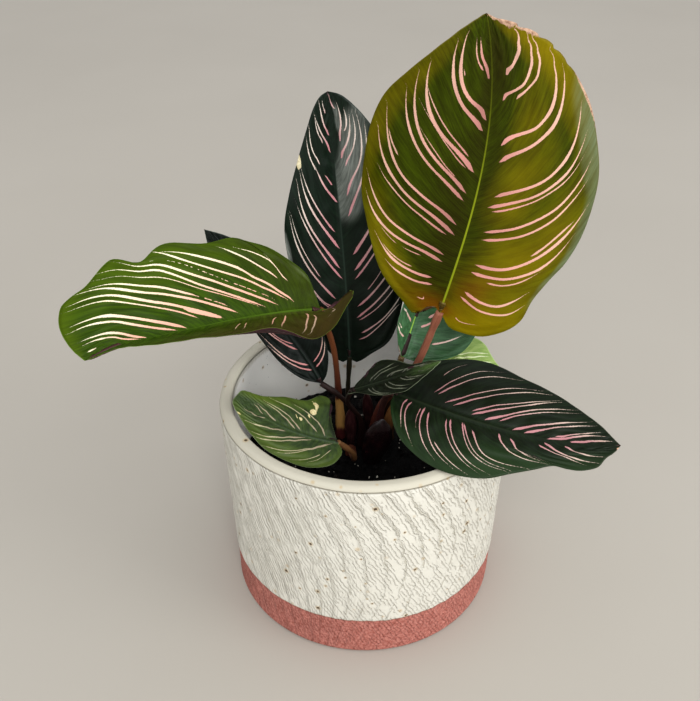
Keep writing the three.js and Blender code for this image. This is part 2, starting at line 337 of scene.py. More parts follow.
def wire_comb(board: Board, given: dict[str, Value]) -> dict[str, Value]:
    """The combed wall: fine broken strokes on one slant, and narrow and broad lines along `comb_run`.

    Args:
        board: the group's board.
        given: its inputs by name.

    Returns:
        Its outputs by name.
    """
    place = board.place()
    x, y, z = board.split(place)
    theta = board.math("ARCTAN2", x, y * -1.0)
    facing = board.ease(board.math("COSINE", theta - BENT_SIDE), *BENT_REACH)
    sway = (board.noise(place, 38.0) - 0.5) * 7.0
    turn = theta - (comb_run(z / MM, facing) + sway) / WALL_RADIUS
    jitter = board.noise(place, 260.0, 3.0, 0.6)
    slant = theta - (COMB_TOP - z / MM) / COMB_FALL * 0.62
    wrap = board.join(board.math("COSINE", slant) * (WALL_RADIUS * MM),
                      board.math("SINE", slant) * (WALL_RADIUS * MM), z * 0.3)
    # Fine strokes, 215 round the wall, each broken in places.
    fine = board.ease(board.math("SINE", slant * 215.0 + jitter * 13.0), 0.35, 0.95)
    fine = fine * board.ease(board.noise(wrap, 360.0, 2.0, 0.6), 0.4, 0.52)
    # Narrow lines of the comb's teeth, on the straight side.
    narrow = board.ease(board.math("SINE", turn * given["Teeth"] + jitter * 7.0), 0.6, 0.97)
    narrow = narrow * (1.0 - facing) * board.ease(board.noise(place, 130.0), 0.36, 0.56)
    # Broad strokes, with a deep line at each crest and a slope from one to the next.
    phase = turn * BROAD_STROKES + jitter * 3.2
    broad = board.ease(board.math("SINE", phase), 0.93, 1.0)
    broad = broad * board.ease(board.noise(wrap, 420.0), 0.4, 0.52) * (facing * 0.6 + 0.4)
    ramp = board.math("FRACT", phase / math.tau - 0.25)
    swell = ramp * board.ease(ramp, 1.0, 0.85) * 0.6
    # Height is the strokes' relief; the second output masks the strokes, where the finish darkens them with
    # painted shade.
    return {"Height": 1.0 - fine * 0.55 - broad * 0.4 - narrow * 0.5 - swell,
            "GrooveShade": board.math("MAXIMUM", fine * 0.6, board.math("MAXIMUM", broad, narrow))}


class Effects:
    """The node groups that several finishes share, each built once."""

    def __init__(self) -> None:
        """Builds the groups."""
        self.stripes = effect("leaf_stripes", {"Ragged": 0.35, "Softness": 0.09}, wire_stripes)
        self.veins = effect("side_veins", {"Count": 120.0}, wire_veins)
        self.mottle = effect("mottle", {"Large": 60.0, "Small": 700.0}, wire_mottle)
        self.specks = effect("specks", {"Scale": 170.0, "Share": 0.72, "Radius": 0.055, "Spread": 0.09},
                             wire_specks)
        self.comb = effect("combed_wall", {"Teeth": 240.0}, wire_comb)


# ---------------------------------------------------------------------------------------------
# Finishes
# ---------------------------------------------------------------------------------------------
class Coat(Board):
    """The node tree of a material, around its Principled shader."""

    def __init__(self, name: str) -> None:
        """Makes the material `name`.

        Args:
            name: the material's name.
        """
        self.material = bpy.data.materials.new(name)
        self.material.use_nodes = True
        super().__init__(self.material.node_tree)
        self.shader = self.tree.nodes["Principled BSDF"]

    def dress(self, colour: object, rough: object, gloss: float = 0.5, height: Value | None = None,
              depth: float = 0.0, strength: float = 1.0) -> bpy.types.Material:
        """Feeds the shader.

        Args:
            colour: the base colour.
            rough: the roughness.
            gloss: the specular level.
            height: the relief that bends the normal.
            depth: what a height of 1 stands for, in metres.
            strength: how much of that relief shows.

        Returns:
            The material.
        """
        feeds = {"Base Color": colour, "Roughness": rough, "Specular IOR Level": gloss}
        if height is not None:
            relief = {"Height": height, "Distance": depth, "Strength": strength}
            feeds["Normal"] = self.add("Bump", relief)[0]
        for name, value in feeds.items():
            self.feed(self.shader.inputs[name], value)
        return self.material


@dataclass(frozen=True)
class BladeFinish:
    """The upper side of a leaf: two greens, the paint over them, and its stripes. The paint includes
    painted light: a backlit glow, painted shade and a painted sheen.
    """

    dark: str
    mid: str
    # colour of the painted backlit glow, which also gives a paler tone
    glow: str
    rib: str
    stripe_inner: str = "e39a90"
    stripe_outer: str = "f0d2bd"
    shade: str = "0a0d08"
    amber: str = "6e4a06"
    # colour of the painted sheen, a painted reflection of the sky
    sheen: str = "8a9a94"
    dry: str = "c9a184"
    burn: str = "6b4a3a"
    edge: str = "9aa388"
    roughness: float = 0.36
    gloss: float = 0.25
    rib_fade: float = 0.15
    veins: float = 120.0
    ragged: float = 0.35

    def build(self, name: str, effects: Effects) -> bpy.types.Material:
        """Wires the finish.

        Args:
            name: the material's name.
            effects: the shared node groups.

        Returns:
            The material.
        """
        coat = Coat(name)
        veins = coat.group(effects.veins, Count=self.veins)
        mottle = coat.group(effects.mottle, Large=45.0, Small=900.0)
        stripe = coat.group(effects.stripes, Ragged=self.ragged)["Mask"]
        glow, shade, sheen = coat.attribute("paint")
        dry, amber, _ = coat.attribute("wear")
        from_rib, from_edge, rib_width = coat.attribute("gauge")
        _, along = coat.unrolled()
        streak, grain = veins["Streak"], mottle["Grain"]
        # Painted light: a backlit glow over a paler tone from the paint's first part, and a painted sheen
        # of reflected sky from its third. Its second part is a darker tone, partly painted shade.
        backlit_glow_and_tone = (mottle["Blotch"] - 0.5) * 0.5 + glow + (streak - 0.5) * 0.35
        painted_sheen = coat.ease(mottle["Blotch"] * 0.3 + sheen, 0.37, 0.55) * (sheen * 1.1)
        blush = coat.mix(coat.ease(veins["Out"], 0.15, 0.85), self.stripe_inner, self.stripe_outer)
        rib = coat.ease(from_rib, rib_width, rib_width * 0.45)
        crisp = coat.ease(dry + grain * 0.55 + streak * 0.35, 0.85, 0.95)
        colour = coat.over(
            coat.mix(coat.ease(streak, 0.3, 0.72), self.dark, self.mid),
            (backlit_glow_and_tone * coat.ease(glow, 0.02, 0.2), self.glow),
            (amber, self.amber),
            (shade, self.shade),
            (coat.ease(veins["Ridge"], 0.35, 0.0) * 0.07, self.rib),
            (painted_sheen * coat.ease(streak, 0.25, 0.75, (0.35, 1.0)), self.sheen),
            (stripe * 0.96, coat.mix(shade * 0.6, blush, self.shade)),
            (rib * coat.ease(along, 0.35, 0.85, (1.0, self.rib_fade)), self.rib),
            (coat.ease(from_edge, 0.45, 0.1) * 0.6, self.edge),
            (crisp, coat.mix(coat.ease(grain, 0.35, 0.8), self.dry, self.burn)))
        rough = mottle["Blotch"] * 0.22 + (self.roughness - 0.1) + stripe * 0.08 + crisp * 0.4
        relief = veins["Ridge"] * 0.5 + stripe * 0.25 + grain * 0.35
        return coat.dress(colour, rough, self.gloss, relief, 0.0001, 0.3)


@dataclass(frozen=True)
class UndersideFinish:
    """The lower side of a leaf, purple in the adult leaves, with raised veins."""

    deep: str = "2c0f1a"
    pale: str = "4f2030"
    rib: str = "4a2c28"

    def build(self, name: str, effects: Effects) -> bpy.types.Material:
        """Wires the finish.

        Args:
            name: the material's name.
            effects: the shared node groups.

        Returns:
            The material.
        """
        coat = Coat(name)
        veins = coat.group(effects.veins, Count=110.0)
        mottle = coat.group(effects.mottle, Large=40.0, Small=800.0)
        from_rib, _, rib_width = coat.attribute("gauge")
        tint = coat.ease(mottle["Blotch"] * 0.5 + veins["Streak"] * 0.5, 0.3, 0.7)
        rib = coat.ease(from_rib, rib_width * 1.3, rib_width * 0.6)
        colour = coat.over(coat.mix(tint, self.deep, self.pale), (rib, self.rib))
        relief = veins["Ridge"] * 0.8 + mottle["Grain"] * 0.4
        return coat.dress(colour, mottle["Grain"] * 0.2 + 0.42, height=relief, depth=0.00015, strength=0.7)


@dataclass(frozen=True)
class StalkFinish:
    """A stem or sheath, with streaks that run along it, a tone for each end and maybe a dry `wrap`."""

    low: str
    high: str
    streak: str
    roughness: float = 0.4
    gloss: float = 0.25
    edge: str = ""
    ribs: float = 9.0
    papery: float = 0.0
    wrap: str = ""
    wrapped: tuple[float, float] = (0.1, 0.3)

    def build(self, name: str, effects: Effects) -> bpy.types.Material:
        """Wires the finish.

        Args:
            name: the material's name.
            effects: the shared node groups.

        Returns:
            The material.
        """
        coat = Coat(name)
        across, along = coat.unrolled()
        mottle = coat.group(effects.mottle, Large=160.0, Small=1200.0)
        fibre = coat.noise(coat.join(across * self.ribs, along * 2.2), 2.2, 4.0, 0.65)
        layers = [(coat.ease(fibre, 0.45, 0.75, (0.0, 0.75)), self.streak),
                  (mottle["Blotch"] * 0.35, self.low)]
        if self.wrap:
            torn = fibre * 0.06 + along
            low, high = self.wrapped
            band = coat.ease(torn, low, low + 0.03) * coat.ease(torn, high + 0.02, high)
            layers.append((band, self.wrap))
        if self.edge:
            layers.append((coat.ease(fibre * 0.04 + abs(across - 0.5), 0.475, 0.505), self.edge))
        colour = coat.over(coat.mix(coat.ease(along, 0.1, 0.8), self.low, self.high), *layers)
        relief = mottle["Grain"] * (0.3 + self.papery) + fibre
        return coat.dress(colour, fibre * 0.25 + (self.roughness - 0.1), self.gloss, relief, 0.0003, 0.8)


@dataclass(frozen=True)
class PotFinish:
    """Off-white glaze over a combed wall, with iron specks, above a band of bare clay. Painted shade
    darkens its comb strokes and its lip, and painted light makes its inner wall paler.
    """

    glaze: str = "dbd9cf"
    glaze_dull: str = "d0cdc2"
    # painted shade in the comb's strokes on the glaze
    groove: str = "aaa595"
    # painted shade: the lip is darker than the glaze, against the light that falls on its top
    lip: str = "bdb9aa"
    # painted light: the inner wall is paler than the outer glaze, so that it shows bright where the plant
    # shades it
    well: str = "efeee8"
    joint: str = "8f897c"
    soil: str = "1d1612"
    speck: str = "3b2a17"
    halo: str = "b59762"
    clay: str = "995b50"
    clay_pale: str = "c08479"
    # painted shade in the comb's strokes on the clay
    clay_groove_shade: str = "7a463d"
    glaze_edge: str = "9a8474"
    # where the paler inside, which is painted light, begins
    well_radius: tuple[float, float] = (61.6, 61.2)
    well_height: tuple[float, float] = (100.5, 97.0)

    def build(self, name: str, effects: Effects) -> bpy.types.Material:
        """Wires the finish.

        Args:
            name: the material's name.
            effects: the shared node groups.

        Returns:
            The material.
        """
        coat = Coat(name)
        place = coat.place()
        x, y, z = coat.split(place)
        height = z / MM
        comb = coat.group(effects.comb)
        mottle = coat.group(effects.mottle, Large=35.0, Small=900.0)
        specks = coat.group(effects.specks)
        uneven = height - (coat.noise(place, 220.0, 3.0) - 0.5) * 1.6
        glazed = coat.ease(uneven, BAND - 0.15, BAND + 0.15)
        # The inside below the lip, painted paler as painted light; soil splashes also lie there.
        inside = coat.ease(coat.math("SQRT", x * x + y * y) / MM, *self.well_radius)
        inside = inside * coat.ease(height, *self.well_height)
        wall = coat.ease(height, SEAM + 0.4, SEAM - 0.5) * (1.0 - inside)
        line = coat.ease(abs(height - SEAM), 0.5, 0.1) * (1.0 - inside)
        splash = coat.group(effects.specks, Scale=420.0, Share=0.5, Radius=0.1, Spread=0.02)["Core"]
        splash = splash * inside * coat.ease(coat.noise(place, 45.0), 0.42, 0.6)
        white = coat.over(
            coat.mix(mottle["Blotch"], self.glaze, self.glaze_dull),
            # painted shade on the lip
            (1.0 - wall, self.lip),
            # painted light on the inner wall
            (inside, self.well),
            # painted shade in the comb's strokes
            (comb["GrooveShade"] * wall * 0.6, self.groove),
            (line * 0.5, self.joint),
            (splash * 0.9, self.soil),
            (specks["Halo"] * 0.5, self.halo),
            (specks["Core"] * 0.9, self.speck))
        clay = coat.mix(coat.ease(mottle["Grain"], 0.3, 0.7), self.clay, self.clay_pale)
        # painted shade in the comb's strokes on the clay
        clay = coat.mix(comb["GrooveShade"] * 0.32, clay, self.clay_groove_shade)
        edge = coat.ease(abs(uneven - BAND), 0.8, 0.0) * 0.35
        colour = coat.over(clay, (glazed, white), (edge, self.glaze_edge))
        matt = coat.ease(height, SEAM - 0.5, SEAM + 0.5) * 0.12 + mottle["Grain"] * 0.14
        relief = (comb["Height"] - 1.0) * wall * (glazed * 0.1 + 0.9)
        relief = relief - line * 0.5 + glazed * 0.35 + mottle["Grain"] * 0.12
        return coat.dress(colour, 0.85 - glazed * 0.42 + matt, 0.3, relief, 0.0008, 0.9)


@dataclass(frozen=True)
class GroundFinish:
    """Moist potting mix, or its crumbs and grains."""

    dark: str
    pale: str
    roughness: float = 0.8

    def build(self, name: str, effects: Effects) -> bpy.types.Material:
        """Wires the finish.

        Args:
            name: the material's name.
            effects: the shared node groups.

        Returns:
            The material.
        """
        coat = Coat(name)
        mottle = coat.group(effects.mottle, Large=150.0, Small=1200.0)
        colour = coat.mix(coat.ease(mottle["Blotch"], 0.3, 0.75), self.dark, self.pale)
        damp = coat.ease(mottle["Grain"], 0.35, 0.7, (self.roughness - 0.3, self.roughness))
        return coat.dress(colour, damp, 0.2, mottle["Grain"] + mottle["Blotch"], 0.0006, 0.9)


# ---------------------------------------------------------------------------------------------
# Curves and surfaces, in millimetres
# ---------------------------------------------------------------------------------------------
def unit(vectors: Points) -> Points:
    """Vectors scaled to length 1."""
    return vectors / np.maximum(np.linalg.norm(vectors, axis=-1, keepdims=True), 1e-12)


def between(values: tuple[float, ...], u: Points) -> Points:
    """A blend between values at even stations, with no corner at a station.

    Args:
        values: the values at the stations.
        u: where they are read, from 0 to 1.

    Returns:
        The blended values.
    """
    stations = np.asarray(values, float)
    x = np.clip(u, 0, 1) * (len(stations) - 1)
    i = np.minimum(x.astype(int), len(stations) - 2)
    f = x - i
    f = f * f * (3 - 2 * f)
    return stations[i] * (1 - f) + stations[i + 1] * f


def step(low: float, high: float, value: Points) -> Points:
    """A smooth step from 0 at `low` to 1 at `high`."""
    x = np.clip((value - low) / (high - low), 0, 1)
    return x * x * (3 - 2 * x)


def bezier(points: Points, t: Points) -> Points:
    """Points of a cubic curve. Control points are on the first axis.

    Args:
        points: the four control points.
        t: where it is read, from 0 to 1.

    Returns:
        The points.
    """
    a, b, c, d = points
    t = t[..., None]
    return (1 - t) ** 3 * a + 3 * (1 - t) ** 2 * t * b + 3 * (1 - t) * t * t * c + t ** 3 * d


def bezier_slope(points: Points, t: Points) -> Points:
    """The direction of a cubic curve, not scaled to length 1.

    Args:
        points: the four control points.
        t: where it is read, from 0 to 1.

    Returns:
        The directions.
    """
    a, b, c, d = points
    t = t[..., None]
    return (1 - t) ** 2 * (b - a) + 2 * t * (1 - t) * (c - b) + t * t * (d - c)


def smooth_path(corners: Points, fine: int = 40) -> Points:
    """A centripetal Catmull-Rom curve through points, as a close polyline.

    Args:
        corners: the points that the curve passes through.
        fine: steps between one point and the next.

    Returns:
        The points of the polyline.
    """
    p = np.asarray(corners, float)
    p = np.vstack([2 * p[0] - p[1], p, 2 * p[-1] - p[-2]])
    pieces = []
    t = np.linspace(0, 1, fine, endpoint=False)[:, None]
    for a, b, c, d in zip(p, p[1:], p[2:], p[3:]):
        d0, d1, d2 = (max(np.linalg.norm(q - r) ** 0.5, 1e-4) for q, r in ((b, a), (c, b), (d, c)))
        leave = ((b - a) / d0 - (c - a) / (d0 + d1) + (c - b) / d1) * d1
        arrive = ((c - b) / d1 - (d - b) / (d1 + d2) + (d - c) / d2) * d1
        pieces.append(b + leave * t + (3 * (c - b) - 2 * leave - arrive) * t ** 2
                      + (2 * (b - c) + leave + arrive) * t ** 3)
    return np.vstack([*pieces, p[-2][None]])


class Polyline:
    """A smooth curve that is read by its share of length."""

    def __init__(self, corners: Points) -> None:
        """Passes through `corners`.

        Args:
            corners: the points that it passes through.
        """
        self.points = smooth_path(corners)
        steps = np.linalg.norm(np.diff(self.points, axis=0), axis=1)
        self.share = np.concatenate([[0], np.cumsum(steps)])
        self.length = self.share[-1]
        self.share /= self.length

    def at(self, u: Points) -> Points:
        """Points at shares of the length."""
        return np.stack([np.interp(u, self.share, axis) for axis in self.points.T], -1)

    def slope(self, u: Points) -> Points:
        """Unit directions at shares of the length."""
        return unit(self.at(np.minimum(u + 0.004, 1)) - self.at(np.maximum(u - 0.004, 0)))


def around(path: Polyline, v: Points, turn: Points, wide: Points, deep: Points) -> Points:
    """Points round a path.

    Args:
        path: the path.
        v: shares of its length.
        turn: angles round it, from the direction across it that is nearly +X.
        wide: half-widths across it.
        deep: half-widths at a right angle to that, nearly along Y.

    Returns:
        The points.
    """
    tangent = path.slope(v)
    across = unit(np.array([1.0, 0, 0]) - tangent * tangent[:, :1])
    return (path.at(v) + across * (wide * np.cos(turn))[:, None]
            + np.cross(tangent, across) * (deep * np.sin(turn))[:, None])


def places(mesh: bpy.types.Mesh) -> Points:
    """Where a mesh's vertices are.

    Args:
        mesh: the mesh.

    Returns:
        The positions, one row per vertex.
    """
    flat = np.empty(len(mesh.vertices) * 3)
    mesh.vertices.foreach_get("co", flat)
    return flat.reshape(-1, 3)


def corners_of(mesh: bpy.types.Mesh) -> Points:
    """The vertex at each face corner of a mesh.

    Args:
        mesh: the mesh.

    Returns:
        The vertex numbers.
    """
    corners = np.empty(len(mesh.loops), int)
    mesh.loops.foreach_get("vertex_index", corners)
    return corners


def write(mesh: bpy.types.Mesh, name: str, domain: str, values: Points) -> None:
    """Gives a mesh a vector attribute on its points or face corners."""
    layer = mesh.attributes.new(name, "FLOAT_VECTOR", domain)
    layer.data.foreach_set("vector", values.astype(np.float32).ravel())


def deselect() -> None:
    """Leaves nothing selected, because a new primitive's operators act on all that is."""
    bpy.ops.object.select_all(action="DESELECT")


def choose(piece: bpy.types.Object) -> None:
    """Selects `piece` alone and makes it the active one.

    Args:
        piece: the piece.
    """
    deselect()
    bpy.context.view_layer.objects.active = piece
    piece.select_set(True)


def edit(piece: bpy.types.Object) -> None:
    """Opens `piece` in edit mode with all of it selected.

    Args:
        piece: the piece.
    """
    choose(piece)
    bpy.ops.object.mode_set(mode="EDIT")
    bpy.ops.mesh.select_all(action="SELECT")


def shaped_grid(name: str, columns: int, rows: int, placing: Placing) -> bpy.types.Object:
    """Adds a grid primitive and lays it on a surface.

    Args:
        name: the piece's name.
        columns: faces across.
        rows: faces along.
        placing: takes u across and v along, both from 0 to 1, and returns points in millimetres.

    Returns:
        The piece, whose vertices are still in the grid's order.
    """
    deselect()
    bpy.ops.mesh.primitive_grid_add(x_subdivisions=columns, y_subdivisions=rows, size=1, location=(0, 0, 0))
    piece = bpy.context.object
    piece.name = name
    piece.data.name = name
    u, v, _ = np.clip(places(piece.data) + 0.5, 0, 1).T
    laid = placing(u, v) * MM
    piece.data.vertices.foreach_set("co", laid.ravel())
    piece.data.update()
    return piece


def weld(piece: bpy.types.Object, outward: bool = False) -> None:
    """Joins a laid grid's seam and poles.

    Args:
        piece: the piece.
        outward: also turns its faces outwards, for a closed shape.
    """
    edit(piece)
    bpy.ops.mesh.remove_doubles(threshold=2e-6)
    bpy.ops.mesh.dissolve_degenerate(threshold=1e-7)
    if outward:
        bpy.ops.mesh.select_all(action="SELECT")
        bpy.ops.mesh.normals_make_consistent(inside=False)
    bpy.ops.object.mode_set(mode="OBJECT")
    bpy.ops.object.shade_smooth()


def thicken(piece: bpy.types.Object, thickness: float, **settings: object) -> None:
    """Gives a sheet its thickness in millimetres with a Solidify modifier, and applies it.

    Args:
        piece: the piece.
        thickness: its greatest thickness in millimetres.
        settings: the modifier's other properties.
    """
    choose(piece)
    wall = piece.modifiers.new("wall", "SOLIDIFY")
    wall.thickness = thickness * MM
    wall.offset = -1.0
    for key, value in settings.items():
        setattr(wall, key, value)
    bpy.ops.object.modifier_apply(modifier=wall.name)


def install(piece: bpy.types.Object, slot: str, node: str | None, *finishes: bpy.types.Material) -> None:
    """Seats a piece on the frame and reports it.

    Args:
        piece: the piece.
        slot: not used.
        node: the CAD node that it stands for, if there is one.
        finishes: the materials that it still needs.
    """
    for finish in finishes:
        piece.data.materials.append(finish)
    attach(piece, "root")
    if node:
        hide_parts(node)
    LOG.info("%s: %d faces", piece.name, len(piece.data.polygons))


# ---------------------------------------------------------------------------------------------
# Leaves
# ---------------------------------------------------------------------------------------------
class Paint(Enum):
    """What a patch of paint on a blade does: attribute name and part."""

    # painted backlit glow, laid over a paler tone of the blade
    GLOW = ("paint", 0)
    # a darker tone, partly painted shade
    SHADE = ("paint", 1)
    # painted sheen, a painted reflection of the sky
    SHEEN = ("paint", 2)
    DRY = ("wear", 0)
    AMBER = ("wear", 1)


# A stripe's start and end are per cent of the way from midrib to margin, its width is tenths of a
# millimetre, and its course is four side veins, where 0 is the blade's base and 1000 its tip.
STRIPE_UNITS = (100, 100, 10, 1000, 1000, 1000, 1000)
# The half-width that a stripe has on the side of the blade where it doesn't lie.
FAR_OFF = -50.0
# A blade's thickness at its midrib, and the share of it that is left between the veins.
RIB_THICKNESS = 1.5
THIN = 0.28


@dataclass(frozen=True)
class Half:
    """One side of a blade, from its midrib to its margin.

    `fold` is the angle at which it leaves the midrib and `curl` the degrees that it turns in every
    10 mm of width, both at even stations. `wave` is the height, number and phase of the margin's
    waves. `edge` is the margin, distance along and out. `ear` is how far the lobe behind the base
    rises. A dip is where along the blade its margin is bitten, the share taken and the width.
    """

    fold: tuple[float, ...]
    curl: tuple[float, ...]
    wave: tuple[float, float, float]
    edge: tuple[tuple[float, float], ...]
    stripes: tuple[tuple[float, ...], ...] = ()
    ear: float = 0.0
    dips: tuple[tuple[float, float, float], ...] = ()

    def bitten(self, along: Points, out: Points, t: Points) -> Points:
        """Distances out, shortened where the margin is bitten.

        Args:
            along: distances along the midrib.
            out: distances out from it.
            t: shares of the way out.

        Returns:
            The shortened distances.
        """
        taken = sum((share * np.exp(-((along - at) / width) ** 2) for at, share, width in self.dips),
                    np.zeros_like(out))
        return out * (1 - taken * t ** 3)


@dataclass
class Leaf:
    """One blade: its shape, its stripes and its finish.

    `midrib` is a cubic curve's four points and `face` the way that the blade faces at its base and at
    its tip. A patch of paint is its side, the side vein and share of the way out at its middle, how
    far it reaches by each of these, and its strength. `cell` is the mesh's spacing, `quilts` counts
    the swellings between side veins, and `dotted` names stripes that break into beads, by side and
    number.
    """

    name: str
    midrib: tuple[tuple[float, float, float], ...]
    face: tuple[tuple[float, float, float], tuple[float, float, float]]
    left: Half
    right: Half
    finish: BladeFinish
    slot: str
    patches: dict[Paint, tuple[tuple[float, ...], ...]] = field(default_factory=dict)
    underside: UndersideFinish = UndersideFinish()
    cell: float = 0.95
    quilts: float = 13.0
    quilt_height: float = 0.22
    rib_width: float = 0.7
    dotted: tuple[tuple[int, int], ...] = ()
    stripe_scale: float = 0.8
    swell: float = 0.3
    droop: float = 0.0

    def half(self, side: int) -> Half:
        """The half on a side, -1 left or 1 right."""
        return self.right if side > 0 else self.left

    def length(self) -> float:
        """The midrib's length."""
        points = bezier(np.asarray(self.midrib, float), np.linspace(0, 1, 201))
        return float(np.linalg.norm(np.diff(points, axis=0), axis=1).sum())

    def spread(self, side: int, s: Points, t: Points) -> tuple[Points, Points]:
        """Where a point of a side vein lies on the flat blade: distance along and distance out.

        Args:
            side: -1 left or 1 right.
            s: side veins.
            t: shares of the way out.

        Returns:
            The distances along the midrib and the distances out from it.
        """
        length = self.length()
        edge = Polyline(np.array([(0, 0), *self.half(side).edge, (length, 0)], float))
        start = np.stack([s * length, np.zeros_like(s)], -1)
        # Side veins crowd towards the base of the margin.
        share = 1 - (1 - s) * (0.2 + 0.8 * (1 - s) ** 2.5)
        end = edge.at(share)
        span = np.linalg.norm(end - start, axis=-1, keepdims=True)
        # They leave the midrib at 50 degrees, and steeper near its base, but stay inside the margin.
        angle = np.radians(50 + 65 * (1 - s) ** 4)
        base = edge.at(np.array([0.03]))[0]
        outside = np.maximum(angle - math.atan2(base[1], base[0]), 0)
        angle = angle - outside * (1 - step(0.0, 0.15, s))
        leave = start + 0.25 * span * np.stack([np.cos(angle), np.sin(angle)], -1)
        # They reach the margin nearly along it.
        margin = edge.at(np.minimum(share + 0.02, 1)) - edge.at(np.maximum(share - 0.02, 0))
        inside = np.maximum(np.arctan2(margin[..., 1], margin[..., 0]) + 0.14, 0.25)
        arrive = end - 0.38 * span * np.stack([np.cos(inside), np.sin(inside)], -1)
        flat = bezier(np.stack([start, leave, arrive, end]), t)
        return flat[..., 0], self.half(side).bitten(flat[..., 0], flat[..., 1], t)

    def lay(self, side: int, along: Points, out: Points, lift: Points) -> Points:
        """Points of the bent blade.

        Args:
            side: -1 left or 1 right.
            along: distances along the midrib.
            out: distances out from it.
            lift: heights above the blade.

        Returns:
            The points.
        """
        half = self.half(side)
        length = self.length()
        u = np.clip(along / length, 0, 1)
        rib_points = np.asarray(self.midrib, float)
        tangent = unit(bezier_slope(rib_points, u))
        rib = bezier(rib_points, u) + tangent * (along - u * length)[..., None]
        rib[..., 2] -= self.droop * step(0.85, 1.15, along / length)
        first, last = (unit(np.asarray(f, float)) for f in self.face)
        normal = first + (last - first) * u[..., None]
        normal = unit(normal - tangent * (normal * tangent).sum(-1, keepdims=True))
        across = np.cross(tangent, normal)
        start = np.radians(between(half.fold, u))
        turn = np.radians(between(half.curl, u)) / 10 + 1e-9
        angle = start + turn * out
        height, waves, phase = half.wave
        widest = max(point[1] for point in half.edge)
        ripple = height * (out / widest) ** 2 * np.sin(2 * np.pi * (waves * u + phase))
        ear = half.ear * (np.minimum(along, 0) / 10) ** 2
        reach = (np.sin(angle) - np.sin(start)) / turn
        rise = (np.cos(start) - np.cos(angle)) / turn + ripple + ear
        up = -side * across * np.sin(angle)[..., None] + normal * np.cos(angle)[..., None]
        return rib + side * across * reach[..., None] + normal * rise[..., None] + up * lift[..., None]

    def relief(self, side: int, s: Points, t: Points, out: Points) -> Points:
        """Heights of the midrib's ridge and of the quilting between side veins.

        Args:
            side: -1 left or 1 right.
            s: side veins.
            t: shares of the way out.
            out: distances from the midrib.

        Returns:
            The heights.
        """
        fade = 1 - 0.75 * np.clip(s, 0, 1)
        beside = (out - 2.4 * self.rib_width) / (1.3 * self.rib_width)
        ridge = fade * (0.38 * np.exp(-(out / self.rib_width) ** 2) - 0.26 * np.exp(-beside ** 2))
        window = step(0.02, 0.3, t) * (1 - 0.7 * step(0.75, 1.0, t))
        window = window * step(0.0, 0.1, s) * (1 - step(0.85, 1, s))
        phase = self.quilts * s + 0.4 * np.sin(9 * t + 3 * side) + (0.3 if side > 0 else 0.0)
        return ridge + self.quilt_height * window * np.sin(2 * np.pi * phase)

    def surface(self, x: Points, s: Points) -> tuple[Points, Points, Points]:
        """Lays the blade out, both sides of it, with its relief.

        Args:
            x: signed shares of the way out, -1 to 1.
            s: side veins.

        Returns:
            The points, the distances from the midrib and the distances from the margin.
        """
        points = np.zeros((len(x), 3))
        from_rib = np.zeros(len(x))
        from_edge = np.zeros(len(x))
        for side in (-1, 1):
            chosen = (x < 0) if side < 0 else (x >= 0)
            t = np.abs(x[chosen])
            along, out = self.spread(side, s[chosen], t)
            margin_along, margin_out = self.spread(side, s[chosen], np.ones_like(t))
            points[chosen] = self.lay(side, along, out, self.relief(side, s[chosen], t, out))
            from_rib[chosen] = out
            from_edge[chosen] = np.hypot(margin_along - along, margin_out - out)
        return points, from_rib, from_edge

    def stripe_values(self, x: Points, s: Points) -> list[Points]:
        """How far across each stripe the vertices lie, its half-width there, and whether it is dotted.

        Args:
            x: signed shares of the way out, one per vertex.
            s: side veins, one per vertex.

        Returns:
            One array per stripe. Its half-width is FAR_OFF on the blade's other side.
        """
        near = 1e-3
        made = []
        for side in (-1, 1):
            t = np.clip(np.abs(x), 0, 1)
            s_in = np.clip(s, 2 * near, 1 - 2 * near)
            t_in = np.clip(t, near, 1 - near)
            # How fast the bent blade moves with the side vein and with the share of the way out.
            there = [self.lay(side, *self.spread(side, s_in + ds, t_in + dt), np.zeros_like(t))
                     for ds, dt in ((near, 0), (-near, 0), (0, near), (0, -near))]
            by_s = (there[0] - there[1]) / (2 * near)
            by_t = (there[2] - there[3]) / (2 * near)
            ss, tt, st = ((a * b).sum(-1) for a, b in ((by_s, by_s), (by_t, by_t), (by_s, by_t)))
            area = np.maximum(ss * tt - st * st, 1e-6)
            here = (x * side > 0) | (np.abs(x) < 1e-9)
            for index, stripe in enumerate(self.half(side).stripes):
                t0, t1, width, *veins = np.divide(stripe, STRIPE_UNITS)
                tau = np.clip((t - t0) / (t1 - t0), 0, 1)
                swell = self.swell * (1.6 * np.exp(-(tau / 0.25) ** 2) - 0.5)
                width = width * self.stripe_scale * (1 + swell)
                fit = np.polyfit((0, 1 / 3, 2 / 3, 1), veins, 3)
                line = np.polyval(fit, tau)
                slope = np.polyval(np.polyder(fit), tau) / (t1 - t0)
                pace = tt + 2 * slope * st + slope * slope * ss
                across = (s - line) / np.sqrt(np.maximum(pace / area, 1e-9))
                pace = np.sqrt(pace)
                whole = (t1 - t0) * pace
                # A stripe starts blunt and ends in a long point.
                blunt = (t - t0) * pace * width / (0.14 * whole + 0.6)
                point = (t1 - t) * pace * width / (0.5 * whole + 0.6)
                half = np.where(here, np.minimum(width / 2, np.minimum(blunt, point)), FAR_OFF)
                dots = np.full_like(half, (side, index) in self.dotted)
                made.append(np.stack([across, half, dots], -1))
        return made

